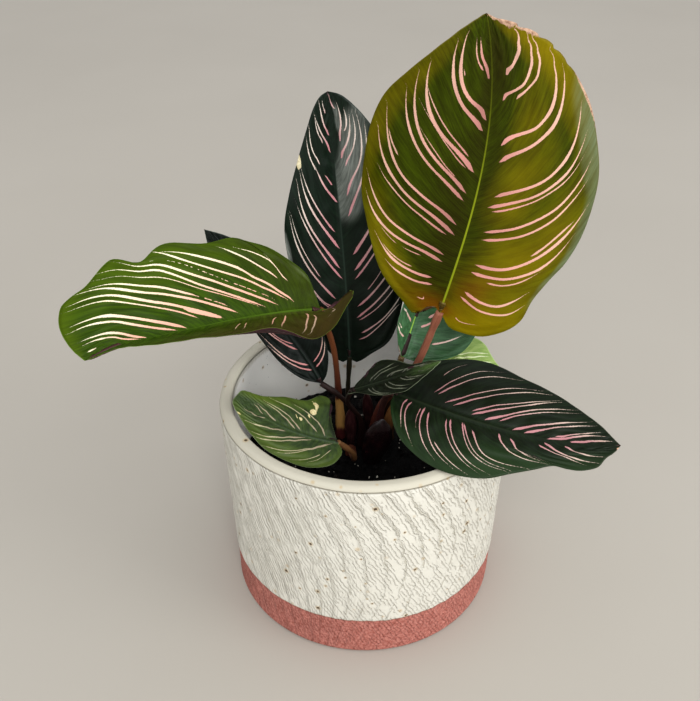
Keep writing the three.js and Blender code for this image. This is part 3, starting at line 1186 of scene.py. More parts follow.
    def paint(self, mesh: bpy.types.Mesh, x: Points, s: Points, from_rib: Points,
              from_edge: Points) -> None:
        """Writes the blade's attributes: paint, wear, gauge and the two stripes nearest each face.

        Args:
            mesh: the blade's mesh, whose vertices are in the grid's order.
            x: signed shares of the way out, one per vertex.
            s: side veins, one per vertex.
            from_rib: distances from the midrib, one per vertex.
            from_edge: distances from the margin, one per vertex.
        """
        layers = {"paint": np.zeros((len(x), 3)), "wear": np.zeros((len(x), 3))}
        for kind, patches in self.patches.items():
            name, part = kind.value
            for side, vein, share, long, wide, strength in patches:
                spot = np.exp(-((s - vein) / long) ** 2 - ((np.abs(x) - share) / wide) ** 2)
                spot = spot * strength * (x * side >= 0)
                layers[name][:, part] = np.maximum(layers[name][:, part], spot)
        layers["gauge"] = np.stack([from_rib, from_edge, self.rib_width * (1 - 0.75 * s) + 0.08], -1)
        for name, values in layers.items():
            write(mesh, name, "POINT", values)
        corners = corners_of(mesh).reshape(-1, 4)
        middle_x = x[corners].mean(1)
        best = np.full((2, len(corners)), -1e9)
        kept = np.zeros((2, len(corners), 4, 3))
        kept[..., 1] = FAR_OFF
        for index, values in enumerate(self.stripe_values(x, s)):
            side = -1 if index < len(self.left.stripes) else 1
            at = values[corners]
            on_blade = (at[..., 1] > FAR_OFF).all(1) & (middle_x * side > 0)
            lone = at.mean(1)
            score = np.where(on_blade, lone[:, 1] - np.abs(lone[:, 0]), -1e9)
            first = score > best[0]
            second = (~first) & (score > best[1])
            kept[1][first], best[1][first] = kept[0][first], best[0][first]
            kept[0][first], best[0][first] = at[first], score[first]
            kept[1][second], best[1][second] = at[second], score[second]
        write(mesh, "stripe_near", "CORNER", kept[0])
        write(mesh, "stripe_next", "CORNER", kept[1])

    def build(self, effects: Effects) -> bpy.types.Object:
        """Models the blade and dresses it.

        Args:
            effects: the shared node groups.

        Returns:
            The finished piece.
        """
        widest = max(point[1] for half in (self.left, self.right) for point in half.edge)
        columns = 2 * max(12, round(widest / self.cell))
        rows = max(30, round(self.length() / self.cell * 1.1))
        stash: dict[str, Points] = {}

        def placing(u: Points, v: Points) -> Points:
            """Lays the grid on the blade and keeps what its paint needs.

            Args:
                u: shares across the grid.
                v: shares along the grid.

            Returns:
                The points.
            """
            # The mesh is finer near the midrib and near the tip.
            x = 2 * u - 1
            x = np.sign(x) * np.abs(x) ** 1.2
            s = 1 - (1 - v) ** 0.75
            points, from_rib, from_edge = self.surface(x, s)
            stash.update(x=x, s=s, from_rib=from_rib, from_edge=from_edge)
            return points

        piece = shaped_grid("foliage_" + self.name, columns, rows, placing)
        uv = np.stack([stash["x"] / 2 + 0.5, stash["s"]], -1)[corners_of(piece.data)]
        piece.data.uv_layers[0].name = "UVMap"
        piece.data.uv_layers[0].data.foreach_set("uv", uv.astype(np.float32).ravel())
        self.paint(piece.data, **stash)
        group = piece.vertex_groups.new(name="thickness")
        heavy = np.exp(-(stash["from_rib"] / (1.4 * self.rib_width)) ** 2) * (1 - 0.6 * stash["s"])
        heavy = THIN + (1 - THIN) * heavy
        heavy *= 0.25 + 0.75 * step(0.0, 1.8, stash["from_edge"])
        heavy *= 0.3 + 0.7 * step(0.0, 0.05, stash["s"])
        for index, weight in enumerate(heavy):
            group.add((index,), float(weight), "REPLACE")
        weld(piece)
        piece.data.materials.append(self.finish.build("blade_" + self.name, effects))
        piece.data.materials.append(self.underside.build("underside_" + self.name, effects))
        thicken(piece, RIB_THICKNESS, vertex_group="thickness", material_offset=1, use_rim=True)
        piece.vertex_groups.clear()
        install(piece, self.slot, "leaf_" + self.name)
        return piece


# ---------------------------------------------------------------------------------------------
# Stems, sheaths and the rolled shoot
# ---------------------------------------------------------------------------------------------
SOIL_TOP = 62.0
SEAT = 0.3
FOOT_RISE = 4.0


def rooted(corners: Points) -> Polyline:
    """A path over heights above the soil, whose foot stands straight in it.

    Args:
        corners: its points, the first one in the soil.

    Returns:
        The path.
    """
    (x, y, _), *rest = corners
    lifted = [(a, b, SOIL_TOP + SEAT + rise) for a, b, rise in ((x, y, 0), (x, y, FOOT_RISE), *rest)]
    return Polyline(np.array(lifted, float))


@dataclass
class Stem:
    """A petiole, from a clasping foot in the soil to the swollen joint under its blade."""

    name: str
    foot: tuple[float, float]
    bends: tuple[tuple[float, float, float], ...]
    radius: tuple[float, float]
    finish: StalkFinish
    clasp: float = 0.35
    sides: int = 20
    rows: int = 90

    def build(self, base: tuple[float, float, float], effects: Effects) -> bpy.types.Object:
        """Models the stem up to `base`, the start of its blade's midrib.

        Args:
            base: where the blade's midrib starts.
            effects: the shared node groups.

        Returns:
            The finished piece.
        """
        feet = [(*self.foot, SOIL_TOP + SEAT + z) for z in (0, FOOT_RISE)]
        path = Polyline(np.array([*feet, *self.bends, base], float))

        def placing(u: Points, v: Points) -> Points:
            """Wraps the grid round the path.

            Args:
                u: shares across the grid.
                v: shares along the grid.

            Returns:
                The points.
            """
            row = np.round(v * self.rows)
            v = np.clip((row - 1) / (self.rows - 2), 0, 1)
            closed = np.where((row == 0) | (row == self.rows), 0.0, 1.0)
            turn = 2 * np.pi * u
            low, high = self.radius
            size = low + (high - low) * np.clip(2 * v, 0, 1)
            left = (1 - v) * path.length
            # It swells just under its blade and is pinched before that.
            joint = 0.16 * np.exp(-((left - 5) / 4) ** 2) - 0.1 * np.exp(-((left - 11) / 2.5) ** 2)
            uneven = 0.03 * np.sin(3 * turn + 2 * v) + 0.02 * np.sin(v * 60)
            groove = 1 - 0.12 * np.exp(-((turn - 1.5 * np.pi) / 0.5) ** 2)
            size = size * (1 + joint) * (1 + uneven) * closed * groove
            # Its foot spreads sideways, where it clasps the crown.
            wing = 1 + self.clasp * np.exp(-((v * path.length) / 16) ** 2) * np.abs(np.cos(turn)) ** 6
            return around(path, v, turn, size * wing, size)

        piece = shaped_grid("petiole_" + self.name, self.sides, self.rows, placing)
        weld(piece, outward=True)
        install(piece, "stem", "stem_" + self.name, self.finish.build("petiole_" + self.name, effects))
        return piece


@dataclass
class Sheath:
    """A pointed sheath, rolled into a channel that is open at one side."""

    name: str
    path: tuple[tuple[float, float, float], ...]
    radius: float
    flat: float
    finish: StalkFinish
    slot: str
    open_at: float = 0.6
    gap: float = 0.9
    columns: int = 26
    rows: int = 60
    wall: float = 0.45

    def rolled(self, u: Points, v: Points) -> tuple[Points, Points, Points]:
        """The channel's angles, half-widths and half-depths: open at one side and flared to its lips.

        Args:
            u: shares of the way round.
            v: shares of the way up.

        Returns:
            The angles, half-widths and half-depths.
        """
        opening = self.gap * (0.35 + 1.6 * v)
        turn = self.open_at * np.pi + opening / 2 + (2 * np.pi - opening) * u
        size = self.radius * (0.55 + 0.9 * v) * (1 - 0.96 * v ** 3)
        size = size * (1 + 0.05 * np.sin(5 * turn + 6 * v)) + 0.06
        size = size * (1 + 0.25 * v * np.abs(2 * u - 1) ** 4)
        return turn, size, size * self.flat

    def title(self) -> str:
        """The visible piece's name."""
        return "bract_" + self.name

    def build(self, effects: Effects) -> bpy.types.Object:
        """Models the piece and dresses it.

        Args:
            effects: the shared node groups.

        Returns:
            The finished piece.
        """
        path = rooted(self.path)
        piece = shaped_grid(self.title(), self.columns, self.rows,
                            lambda u, v: around(path, v, *self.rolled(u, v)))
        weld(piece)
        thicken(piece, self.wall, use_rim=True)
        install(piece, self.slot, self.name, self.finish.build(self.title(), effects))
        return piece


@dataclass
class RolledShoot(Sheath):
    """A young leaf, still rolled round itself in a scroll and pointed at its top."""

    open_at: float = 1.5
    turns: float = 1.55
    tuck: float = 0.16

    def title(self) -> str:
        """The visible piece's name."""
        return "young_leaf"

    def rolled(self, u: Points, v: Points) -> tuple[Points, Points, Points]:
        """The scroll's angles, half-widths and half-depths, one turn tucked under the next.

        Args:
            u: shares of the way round.
            v: shares of the way up.

        Returns:
            The angles, half-widths and half-depths.
        """
        turn = (self.open_at + 2 * self.turns * u) * np.pi
        size = self.radius * (0.55 + 0.9 * v) * (1 - 0.93 * v ** 3) - 0.25
        size = size * (1 - self.tuck * (1 - u)) * (1 - 0.05 * np.cos(2 * turn))
        size = np.maximum(size - 0.12 * np.sin(9 * v * np.pi) * step(0.3, 1, u), 0.3)
        return turn, size, size * self.flat


# ---------------------------------------------------------------------------------------------
# Planter and soil
# ---------------------------------------------------------------------------------------------
def circle(u: Points, columns: int) -> Points:
    """Angles round the planter for a grid's columns, exactly alike at the seam."""
    return 2 * np.pi * (np.round(u * columns) % columns) / columns


def turned(radius: Points, angle: Points, z: Points) -> Points:
    """Points at angles round the planter's axis, from the front to the right."""
    return np.stack([radius * np.sin(angle), -radius * np.cos(angle), z], -1)


@dataclass
class Planter:
    """The straight-sided planter, turned from one profile, with its combed wall in relief."""

    height: float = 103.0
    floor: float = 7.0
    foot_radius: float = 62.5
    chamfer: float = 2.0
    body_radius: float = WALL_RADIUS
    mouth_radius: float = 59.0
    well_radius: float = 57.5
    fillet: float = 5.0
    lip: float = 3.0
    inner_lip: float = 1.6
    columns: int = 500
    wall_rows: tuple[int, int] = (9, 133)
    dent_scale: float = 0.045
    dent_depth: float = 0.35
    stroke_depth: float = 0.11
    band_depth: float = 0.25
    seam_depth: float = 0.2
    finish: PotFinish = PotFinish()

    def profile(self) -> Points:
        """Radius and height from the middle of the foot, up the wall, over the lip and down the well.

        Returns:
            The points, one row each.
        """
        def line(start: tuple, end: tuple, steps: int) -> Points:
            """A straight run, without its end."""
            return np.linspace(start, end, steps, endpoint=False)

        def arc(centre: tuple, radius: float, first: float, last: float, steps: int) -> Points:
            """A quarter round, without its end."""
            a = np.radians(np.linspace(first, last, steps, endpoint=False))
            return np.stack([centre[0] + radius * np.cos(a), centre[1] + radius * np.sin(a)], -1)

        foot, body, mouth, well = self.foot_radius, self.body_radius, self.mouth_radius, self.well_radius
        top, floor, edge, lip, inner, fillet = (
            self.height, self.floor, self.chamfer, self.lip, self.inner_lip, self.fillet)
        return np.vstack([
            line((0, 0), (foot - edge - 4, 0), 3),
            line((foot - edge - 4, 0), (foot - edge, 0), 2),
            arc((foot - edge, edge), edge, -90, 0, 5),
            line((foot, edge), (body, top - lip), 118),
            arc((body - lip, top - lip), lip, 0, 90, 16),
            line((body - lip, top), (mouth + inner, top), 2),
            arc((mouth + inner, top - inner), inner, 90, 180, 6),
            line((mouth, top - inner), (well, floor + fillet), 14),
            arc((well - fillet, floor + fillet), fillet, 0, -90, 5),
            line((well - fillet, floor), (0, floor), 3),
            [(0, floor)],
        ])

    def wobble(self, points: Points) -> Points:
        """How far the hand-finished wall stands out from a true turning, by place."""
        return np.array([noise.noise(Vector(p) * self.dent_scale) for p in points]) * self.dent_depth

    def relief(self, angle: Points, z: Points) -> Points:
        """How far the wall stands in or out for the comb's broad strokes, the bare band and the seam.

        Args:
            angle: angles round the wall.
            z: heights.

        Returns:
            The distances, outwards positive.
        """
        facing = step(*BENT_REACH, np.cos(angle - BENT_SIDE))
        turn = angle - comb_run(z, facing) / WALL_RADIUS
        broad = self.stroke_depth * np.sin(BROAD_STROKES * turn) * (0.3 + 0.7 * facing)
        window = step(1.5, 4, z) * (1 - step(SEAM - 2.5, SEAM - 0.5, z))
        band = self.band_depth * (1 - step(BAND - 0.6, BAND + 0.6, z)) * step(0.5, 3, z)
        notch = self.seam_depth * np.exp(-((z - SEAM) / 0.45) ** 2)
        return broad * window - band - notch

    def build(self, effects: Effects) -> bpy.types.Object:
        """Models the planter and dresses it.

        Args:
            effects: the shared node groups.

        Returns:
            The finished piece.
        """
        profile = self.profile()
        rows = len(profile) - 1

        def placing(u: Points, v: Points) -> Points:
            """Turns the profile and presses the comb into its wall.

            Args:
                u: shares across the grid.
                v: shares along the grid.

            Returns:
                The points.
            """
            row = np.round(v * rows).astype(int)
            r, z = profile[row].T
            angle = circle(u, self.columns)
            outer = (row >= self.wall_rows[0]) & (row <= self.wall_rows[1]) & (r > self.mouth_radius)
            push = np.where(outer, self.relief(angle, z), 0.0)
            soft = (r > self.mouth_radius - 3) & (z > self.chamfer + 1)
            soft = np.where(soft, self.wobble(turned(r, angle, z)), 0.0)
            return turned(r + push + soft, angle, z + 0.4 * soft * (z > 90))

        piece = shaped_grid("planter", self.columns, rows, placing)
        weld(piece, outward=True)
        install(piece, "glaze", "pot", self.finish.build("planter_glaze", effects))
        return piece


@dataclass
class Soil:
    """Potting mix with crumbs, bits of bark and pale grains lying on it."""

    top: float = SOIL_TOP
    drop: float = 1.0
    floor: float = 7.3
    radius: float = 57.5
    rings: int = 66
    spokes: int = 220
    crumbs: int = 1100
    bark: int = 70
    grains: int = 110
    seed: int = 7

    def level(self, x: float, y: float) -> float:
        """The height of the soil's lumpy surface.

        Args:
            x: the place across.
            y: the place deep.

        Returns:
            The height.
        """
        r = math.hypot(x, y) / self.radius
        mounds, lumps, clods = (noise.noise(Vector((x * scale, y * scale, layer)))
                                for scale, layer in ((0.09, 3.0), (0.3, 8.0), (0.75, 5.0)))
        return self.top - self.drop * r * r - 0.7 + mounds * 1.1 + lumps * 0.9 + abs(clods) * 0.9

    def bed(self, effects: Effects) -> bpy.types.Object:
        """Models the mix itself, closed down to the planter's floor.

        Args:
            effects: the shared node groups.

        Returns:
            The finished piece.
        """
        below = np.array([(self.radius - 0.6, 12.0), (self.radius - 5.6, self.floor), (25.0, self.floor),
                          (0.0, self.floor)])
        rows = self.rings + len(below)

        def placing(u: Points, v: Points) -> Points:
            """Lays rings on the surface, then down the well's wall to the middle of its floor.

            Args:
                u: shares across the grid.
                v: shares along the grid.

            Returns:
                The points.
            """
            row = np.round(v * rows).astype(int)
            at_top = row <= self.rings
            r, z = below[np.maximum(row - self.rings - 1, 0)].T
            laid = turned(np.where(at_top, self.radius * row / self.rings, r), circle(u, self.spokes), z)
            laid[at_top, 2] = [self.level(x, y) for x, y, _ in laid[at_top]]
            return laid

        piece = shaped_grid("soil_bed", self.spokes, rows, placing)
        weld(piece, outward=True)
        # The mix's near-black colours are its own dark tone deepened by painted shade.
        install(piece, "soil", "potting_soil", GroundFinish("020202", "0c0908").build("soil_bed", effects))
        return piece

    def scatter(self, name: str, faces: int, count: int, size: tuple[float, float], stretch: float,
                finish: GroundFinish, effects: Effects, perch: float = 0.0) -> None:
        """Strews copies of one rough lump over the soil.

        Args:
            name: the piece's name.
            faces: how finely the lump is divided, 1 or 2.
            count: how many copies lie there.
            size: their least and greatest radius.
            stretch: how much longer than wide some are.
            finish: their finish.
            effects: the shared node groups.
            perch: how far they lie above the mix, on its crumbs.
        """
        deselect()
        bpy.ops.mesh.primitive_ico_sphere_add(subdivisions=faces, radius=1, location=(0, 0, 0))
        lump = bpy.context.object
        edit(lump)
        bpy.ops.transform.vertex_random(offset=0.28, seed=self.seed + faces)
        bpy.ops.object.mode_set(mode="OBJECT")
        shape = places(lump.data)
        corners = corners_of(lump.data).reshape(-1, 3)
        bpy.data.objects.remove(lump)
        chance = np.random.default_rng(self.seed + count)
        vertices, faces_made = [], []
        least, greatest = size
        for index in range(count):
            r = 0.95 * self.radius * math.sqrt(chance.uniform())
            a = chance.uniform(0, 2 * math.pi)
            x, y = r * math.cos(a), r * math.sin(a)
            big = least + (greatest - least) * chance.uniform() ** 3
            scale = big * np.array([1 + (stretch - 1) * chance.uniform(), 1.0, chance.uniform(0.5, 0.9)])
            basis, _ = np.linalg.qr(chance.normal(size=(3, 3)))
            basis[:, 0] *= np.sign(np.linalg.det(basis))
            lift = self.level(x, y) + 0.35 * big + perch
            vertices.append((shape * scale) @ basis.T + (x, y, lift))
            faces_made.append(corners + index * len(shape))
        mesh = bpy.data.meshes.new(name)
        mesh.from_pydata((np.vstack(vertices) * MM).tolist(), [], np.vstack(faces_made).tolist())
        piece = bpy.data.objects.new(name, mesh)
        bpy.context.collection.objects.link(piece)
        install(piece, "soil", None, finish.build(name, effects))

    def build(self, effects: Effects) -> None:
        """Models the mix and what lies on it.

        Args:
            effects: the shared node groups.
        """
        self.bed(effects)
        # The crumbs' near-black colours are likewise deepened by painted shade.
        crumb, bark, grain = (GroundFinish("030202", "130e0b"), GroundFinish("0a0605", "21150f", 0.7),
                              GroundFinish("a9a498", "dedacf"))
        self.scatter("soil_crumbs", 1, self.crumbs, (0.35, 1.7), 1.8, crumb, effects)
        self.scatter("soil_bark", 1, self.bark, (0.8, 2.4), 3.0, bark, effects)
        self.scatter("soil_grains", 2, self.grains, (0.25, 0.65), 1.3, grain, effects, 0.6)


# ---------------------------------------------------------------------------------------------
# Studio
# ---------------------------------------------------------------------------------------------
@dataclass
class Studio:
    """The pale floor, the soft lights and the camera at the photograph's viewing angle."""

    eye: tuple[float, float, float] = (-6.8, -324.8, 348.7)
    pitch: float = 34.7
    focal: float = 909.0
    frame_side: float = 701.0
    sensor: float = 36.0
    floor_tones: tuple[str, str] = ("b2ada4", "a8a39a")
    floor_side: float = 8.0
    floor_drop: float = 0.0002
    sky_colour: tuple[float, float, float, float] = (0.98, 0.985, 1.0, 1.0)
    glow: tuple[float, float] = (0.32, 1.1)

    def camera(self) -> None:
        """Sets up the camera, whose focal length is given in pixels of the photograph."""
        data = bpy.data.cameras.new("view")
        data.sensor_width = self.sensor
        data.lens = self.focal / self.frame_side * self.sensor
        data.clip_start = 0.01
        eye = bpy.data.objects.new("view", data)
        bpy.context.collection.objects.link(eye)
        eye.location = Vector(self.eye) * MM
        eye.rotation_euler = (math.radians(90 - self.pitch), 0, 0)
        bpy.context.scene.camera = eye

    def lamp(self, name: str, place: tuple, aim: tuple, size: float, power: float, colour: tuple) -> None:
        """Adds a soft square light.

        Args:
            name: its name.
            place: where it stands, in metres.
            aim: the point that it is turned to, in metres.
            size: its side, in metres.
            power: its power, in watts.
            colour: its linear colour.
        """
        data = bpy.data.lights.new(name, "AREA")
        data.shape = "SQUARE"
        data.size = size
        data.energy = power
        data.color = colour
        light = bpy.data.objects.new(name, data)
        bpy.context.collection.objects.link(light)
        light.location = place
        light.rotation_mode = "QUATERNION"
        light.rotation_quaternion = (Vector(aim) - Vector(place)).to_track_quat("-Z", "Y")

    def sky(self) -> None:
        """Gives the scene an even, pale light, brighter from above and from the front than from behind."""
        world = bpy.data.worlds.new("studio")
        world.use_nodes = True
        board = Board(world.node_tree)
        back = world.node_tree.nodes["Background"]
        x, y, z = board.split(board.add("TexCoord")["Generated"])
        board.feed(back.inputs["Color"], self.sky_colour)
        lit = x * 0.25 + y * -0.55 + z * 0.55
        board.feed(back.inputs["Strength"], board.ease(lit, -0.5, 0.75, self.glow))
        bpy.context.scene.world = world

    def ground(self, effects: Effects) -> None:
        """Lays the plain floor.

        Args:
            effects: the shared node groups.
        """
        deselect()
        bpy.ops.mesh.primitive_plane_add(size=self.floor_side, location=(0, 0, -self.floor_drop))
        floor = bpy.context.object
        floor.name = "studio_floor"
        coat = Coat(floor.name)
        mottle = coat.group(effects.mottle, Large=3.0, Small=60.0)
        floor.data.materials.append(coat.dress(coat.mix(mottle["Blotch"], *self.floor_tones), 0.85))

    def build(self, effects: Effects) -> None:
        """Sets up the floor, lights and camera.

        Args:
            effects: the shared node groups.
        """
        settings = bpy.context.scene.view_settings
        settings.view_transform = "Standard"
        settings.look = "Medium High Contrast"
        self.camera()
        self.sky()
        self.ground(effects)
        self.lamp("key", (1.55, -0.62, 0.75), (0, 0, 0.1), 0.9, 7.6, (1.0, 0.985, 0.965))
        self.lamp("fill", (0.1, -1.35, 1.2), (0, 0, 0.09), 0.7, 11.5, (1.0, 0.995, 0.985))


# ---------------------------------------------------------------------------------------------
# The plant
# ---------------------------------------------------------------------------------------------
DUSKY = UndersideFinish("1f0b13", "36161f", "33201f")
# The tall leaf's brown underside lies between its own purple and the olive it shows when light shines
# through it: partly painted backlight.
BRONZE = UndersideFinish("33200f", "523a18", "6b5a22")
GREEN_UNDER = UndersideFinish("4a5a2a", "7c8f4a", "a9b56a")


# The tallest leaf, yellow-green, with a dried tip.
TALL = Leaf(
    "tall", ((30, -10, 150), (36, -18, 184), (47, -26, 235), (34, -44, 277)),
    ((-0.15, -0.9, 0.35), (-0.05, -0.9, 0.45)),
    Half((14, 8, 6), (-4, -4, -4), (1, 2, 0), (
        (3, 4.5), (-3.5, 10), (4, 17.5), (17.5, 28), (40.5, 38), (54, 42), (81, 41.5), (94, 39.5),
        (107, 35), (116.5, 28.5), (125.5, 19), (131, 9), (132.5, 3)), (
        (40, 53, 6, 65, 58, 60, 62), (21, 74, 11, 118, 114, 117, 126), (21, 80, 13, 144, 138, 139, 158),
        (41, 72, 5, 150, 147, 148, 155), (52, 67, 4, 187, 187, 188, 190), (31, 46, 5, 197, 194, 192, 190),
        (13, 89, 13, 212, 208, 197, 209), (13, 92, 12, 236, 229, 218, 240), (16, 81, 8, 301, 290, 279, 283),
        (9, 93, 14, 316, 312, 298, 343), (10, 94, 13, 349, 340, 328, 400), (69, 84, 7, 351, 353, 358, 368),
        (10, 92, 12, 432, 421, 414, 475), (10, 95, 13, 458, 448, 444, 535), (24, 64, 4, 467, 460, 455, 452),
        (18, 76, 4, 521, 506, 495, 490), (8, 95, 16, 533, 520, 500, 590), (18, 84, 6, 556, 540, 524, 537),
        (8, 93, 15, 664, 648, 633, 740), (5, 92, 15, 701, 695, 676, 830), (60, 66, 4, 700, 702, 704, 706),
        (27, 70, 6, 823, 815, 820, 860), (6, 60, 10, 822, 846, 855, 885),
    )),
    Half((10, 6, 4), (-6, -7, -6), (1, 2, 0.3), (
        (-6, 6), (-6, 11.5), (-4.5, 19), (1, 26), (10.5, 31.5), (23, 33), (33.5, 36.5), (41, 40),
        (51.5, 42.5), (63, 43), (75, 42), (88, 37.5), (97.5, 33.5), (107, 27.5), (114, 22.3), (118.6, 18.4),
        (124, 12), (128, 6.5), (130.3, 2.5)), (
        (40, 58, 5, 44, 42, 50, 66), (18, 87, 11, 111, 98, 103, 115), (20, 78, 14, 132, 117, 117, 140),
        (32, 66, 8, 175, 170, 175, 192), (15, 84, 14, 205, 190, 198, 228), (16, 91, 15, 232, 217, 232, 257),
        (53, 80, 10, 235, 244, 253, 257), (15, 88, 11, 315, 295, 291, 297),
        (15, 93, 12, 340, 318, 308, 315), (18, 88, 7, 401, 368, 345, 339), (14, 92, 13, 420, 384, 354, 362),
        (19, 95, 14, 444, 406, 375, 410), (20, 97, 16, 548, 506, 459, 500),
        (21, 98, 15, 598, 551, 490, 560), (51, 99, 9, 650, 609, 585, 660), (26, 99, 12, 725, 681, 623, 690),
        (44, 97, 14, 766, 735, 706, 745),
    ), dips=((111, 0.02, 1.2), (116.3, 0.04, 0.8), (120.7, 0.06, 0.8), (125.4, 0.12, 0.8))),
    BladeFinish("2f3401", "445203", "8c7c04", "8f9a24", "e2a09a", "ecbfae", shade="2a2404",
                amber="80500a", sheen="77866f", dry="c9a890", edge="75652c", roughness=0.44, gloss=0.12),
    "leaf_olive", {
        # painted backlit glow over a paler olive, most on the right half
        Paint.GLOW: ((1, 0.05, 0.6, 0.12, 0.6, 0.85), (1, 0.22, 0.5, 0.12, 0.45, 0.6),
            (1, 0.6, 0.95, 0.3, 0.13, 0.75), (1, 0.42, 0.4, 0.12, 0.3, 0.5),
            (-1, 0.12, 0.75, 0.12, 0.3, 0.6), (-1, 0.4, 0.95, 0.4, 0.12, 0.4),
            (1, 0.55, 0.55, 0.1, 0.3, 0.4)),
        # amber near the base, partly painted backlit glow
        Paint.AMBER: ((1, 0, 0.15, 0.06, 0.3, 0.9), (-1, 0.02, 0.3, 0.07, 0.4, 0.9),
            (1, 0.14, 0.25, 0.06, 0.2, 0.5)),
        Paint.SHADE: ((-1, 0.3, 0.12, 0.25, 0.2, 0.7), (-1, 0.75, 0.1, 0.3, 0.2, 0.6),
            (1, 0.85, 0.3, 0.14, 0.5, 0.75), (1, 0.5, 0.1, 0.3, 0.16, 0.4)),
        # painted sheen: a painted reflection of the sky on the lower right margin, which bends back
        Paint.SHEEN: ((1, 0.2, 1, 0.1, 0.17, 0.8), (1, 0.34, 1, 0.12, 0.16, 0.75)),
        Paint.DRY: ((1, 0.96, 1, 0.08, 0.14, 0.95), (1, 0.82, 1, 0.09, 0.08, 0.95),
            (1, 0.68, 1, 0.09, 0.035, 0.9), (1, 0.4, 1, 0.06, 0.018, 0.95)),
    }, underside=BRONZE, quilts=9.0, rib_width=0.58, stripe_scale=0.88)


# The upright dark leaf at the back.
REAR = Leaf(
    "rear", ((-7, 25, 103), (-8, 30, 147), (-13, 38, 187), (-16, 42, 224)),
    ((0, -0.9, 0.3), (0, -0.95, 0.2)),
    Half((15, 15, 12), (-5, -5, -5), (1, 2, 0), (
        (-2.5, 2.5), (3.5, 9.5), (18, 17), (30, 21.5), (53, 25), (66, 24.5), (79, 21), (94, 15.5),
        (109, 9.5), (115, 7), (120.5, 3.5)), (
        (20, 60, 8, 187, 182, 190, 200), (25, 52, 7, 172, 176, 182, 190), (17, 92, 11, 215, 235, 248, 283),
        (38, 90, 6, 252, 262, 272, 292), (4, 86, 10, 300, 325, 327, 333), (7, 93, 12, 335, 355, 345, 375),
        (5, 92, 13, 412, 418, 393, 405), (12, 92, 9, 463, 450, 422, 420), (2, 68, 12, 590, 588, 560, 530),
        (11, 37, 8, 642, 640, 634, 618), (66, 97, 7, 527, 510, 505, 530), (56, 98, 7, 593, 565, 545, 590),
        (10, 93, 9, 766, 772, 725, 690), (50, 93, 6, 720, 695, 670, 700), (12, 95, 9, 830, 825, 808, 825),
        (45, 85, 6, 885, 880, 872, 878),
    )),
    Half((22, 25, 22), (-8, -8, -8), (1, 2, 0.4), (
        (-2.5, 2.5), (3, 11), (9.5, 19.5), (25.5, 25.5), (44.5, 28), (64.5, 28.5), (82, 26.5), (96.5, 22.5),
        (107, 17.5), (115.5, 11.5), (121, 5.5)), (
        (23, 90, 7, 77, 99, 120, 117), (24, 95, 9, 98, 116, 130, 135), (19, 95, 6, 141, 155, 165, 170),
        (15, 95, 11, 150, 172, 181, 185), (16, 95, 12, 188, 205, 215, 220), (31, 60, 5, 223, 230, 237, 245),
        (14, 85, 10, 285, 298, 300, 295), (14, 90, 14, 315, 325, 325, 320),
        (14, 92, 15, 370, 374, 365, 365), (15, 95, 13, 508, 515, 505, 560),
        (19, 96, 12, 575, 572, 545, 640), (30, 92, 9, 663, 640, 612, 670), (21, 88, 12, 720, 705, 672, 700),
        (57, 85, 8, 740, 716, 716, 760), (30, 80, 12, 775, 782, 791, 870), (30, 62, 10, 950, 930, 900, 868),
    )),
    BladeFinish("0d1810", "16281b", "2f4038", "25332a", "cb8f94", "e6d8cc", dry="ddd4b4", burn="a99c74",
                sheen="9a9f98", edge="27332c", roughness=0.36),
    "leaf_dark", {
        # painted sheen: a painted reflection of the sky on the upper right half, and a painted highlight by
        # the left margin
        Paint.SHEEN: ((1, 0.62, 0.45, 0.17, 0.6, 0.75), (1, 0.85, 0.5, 0.1, 0.3, 0.5),
            (-1, 0.2, 0.97, 0.04, 0.12, 0.9)),
        # painted shade on the lower part of both halves, where the tall leaf shades it
        Paint.SHADE: ((1, 0.15, 0.5, 0.25, 0.8, 0.7), (-1, 0.1, 0.3, 0.15, 0.5, 0.5)),
        Paint.DRY: ((-1, 0.42, 1, 0.02, 0.08, 1),),
    }, underside=DUSKY, quilts=11.0, stripe_scale=0.7)


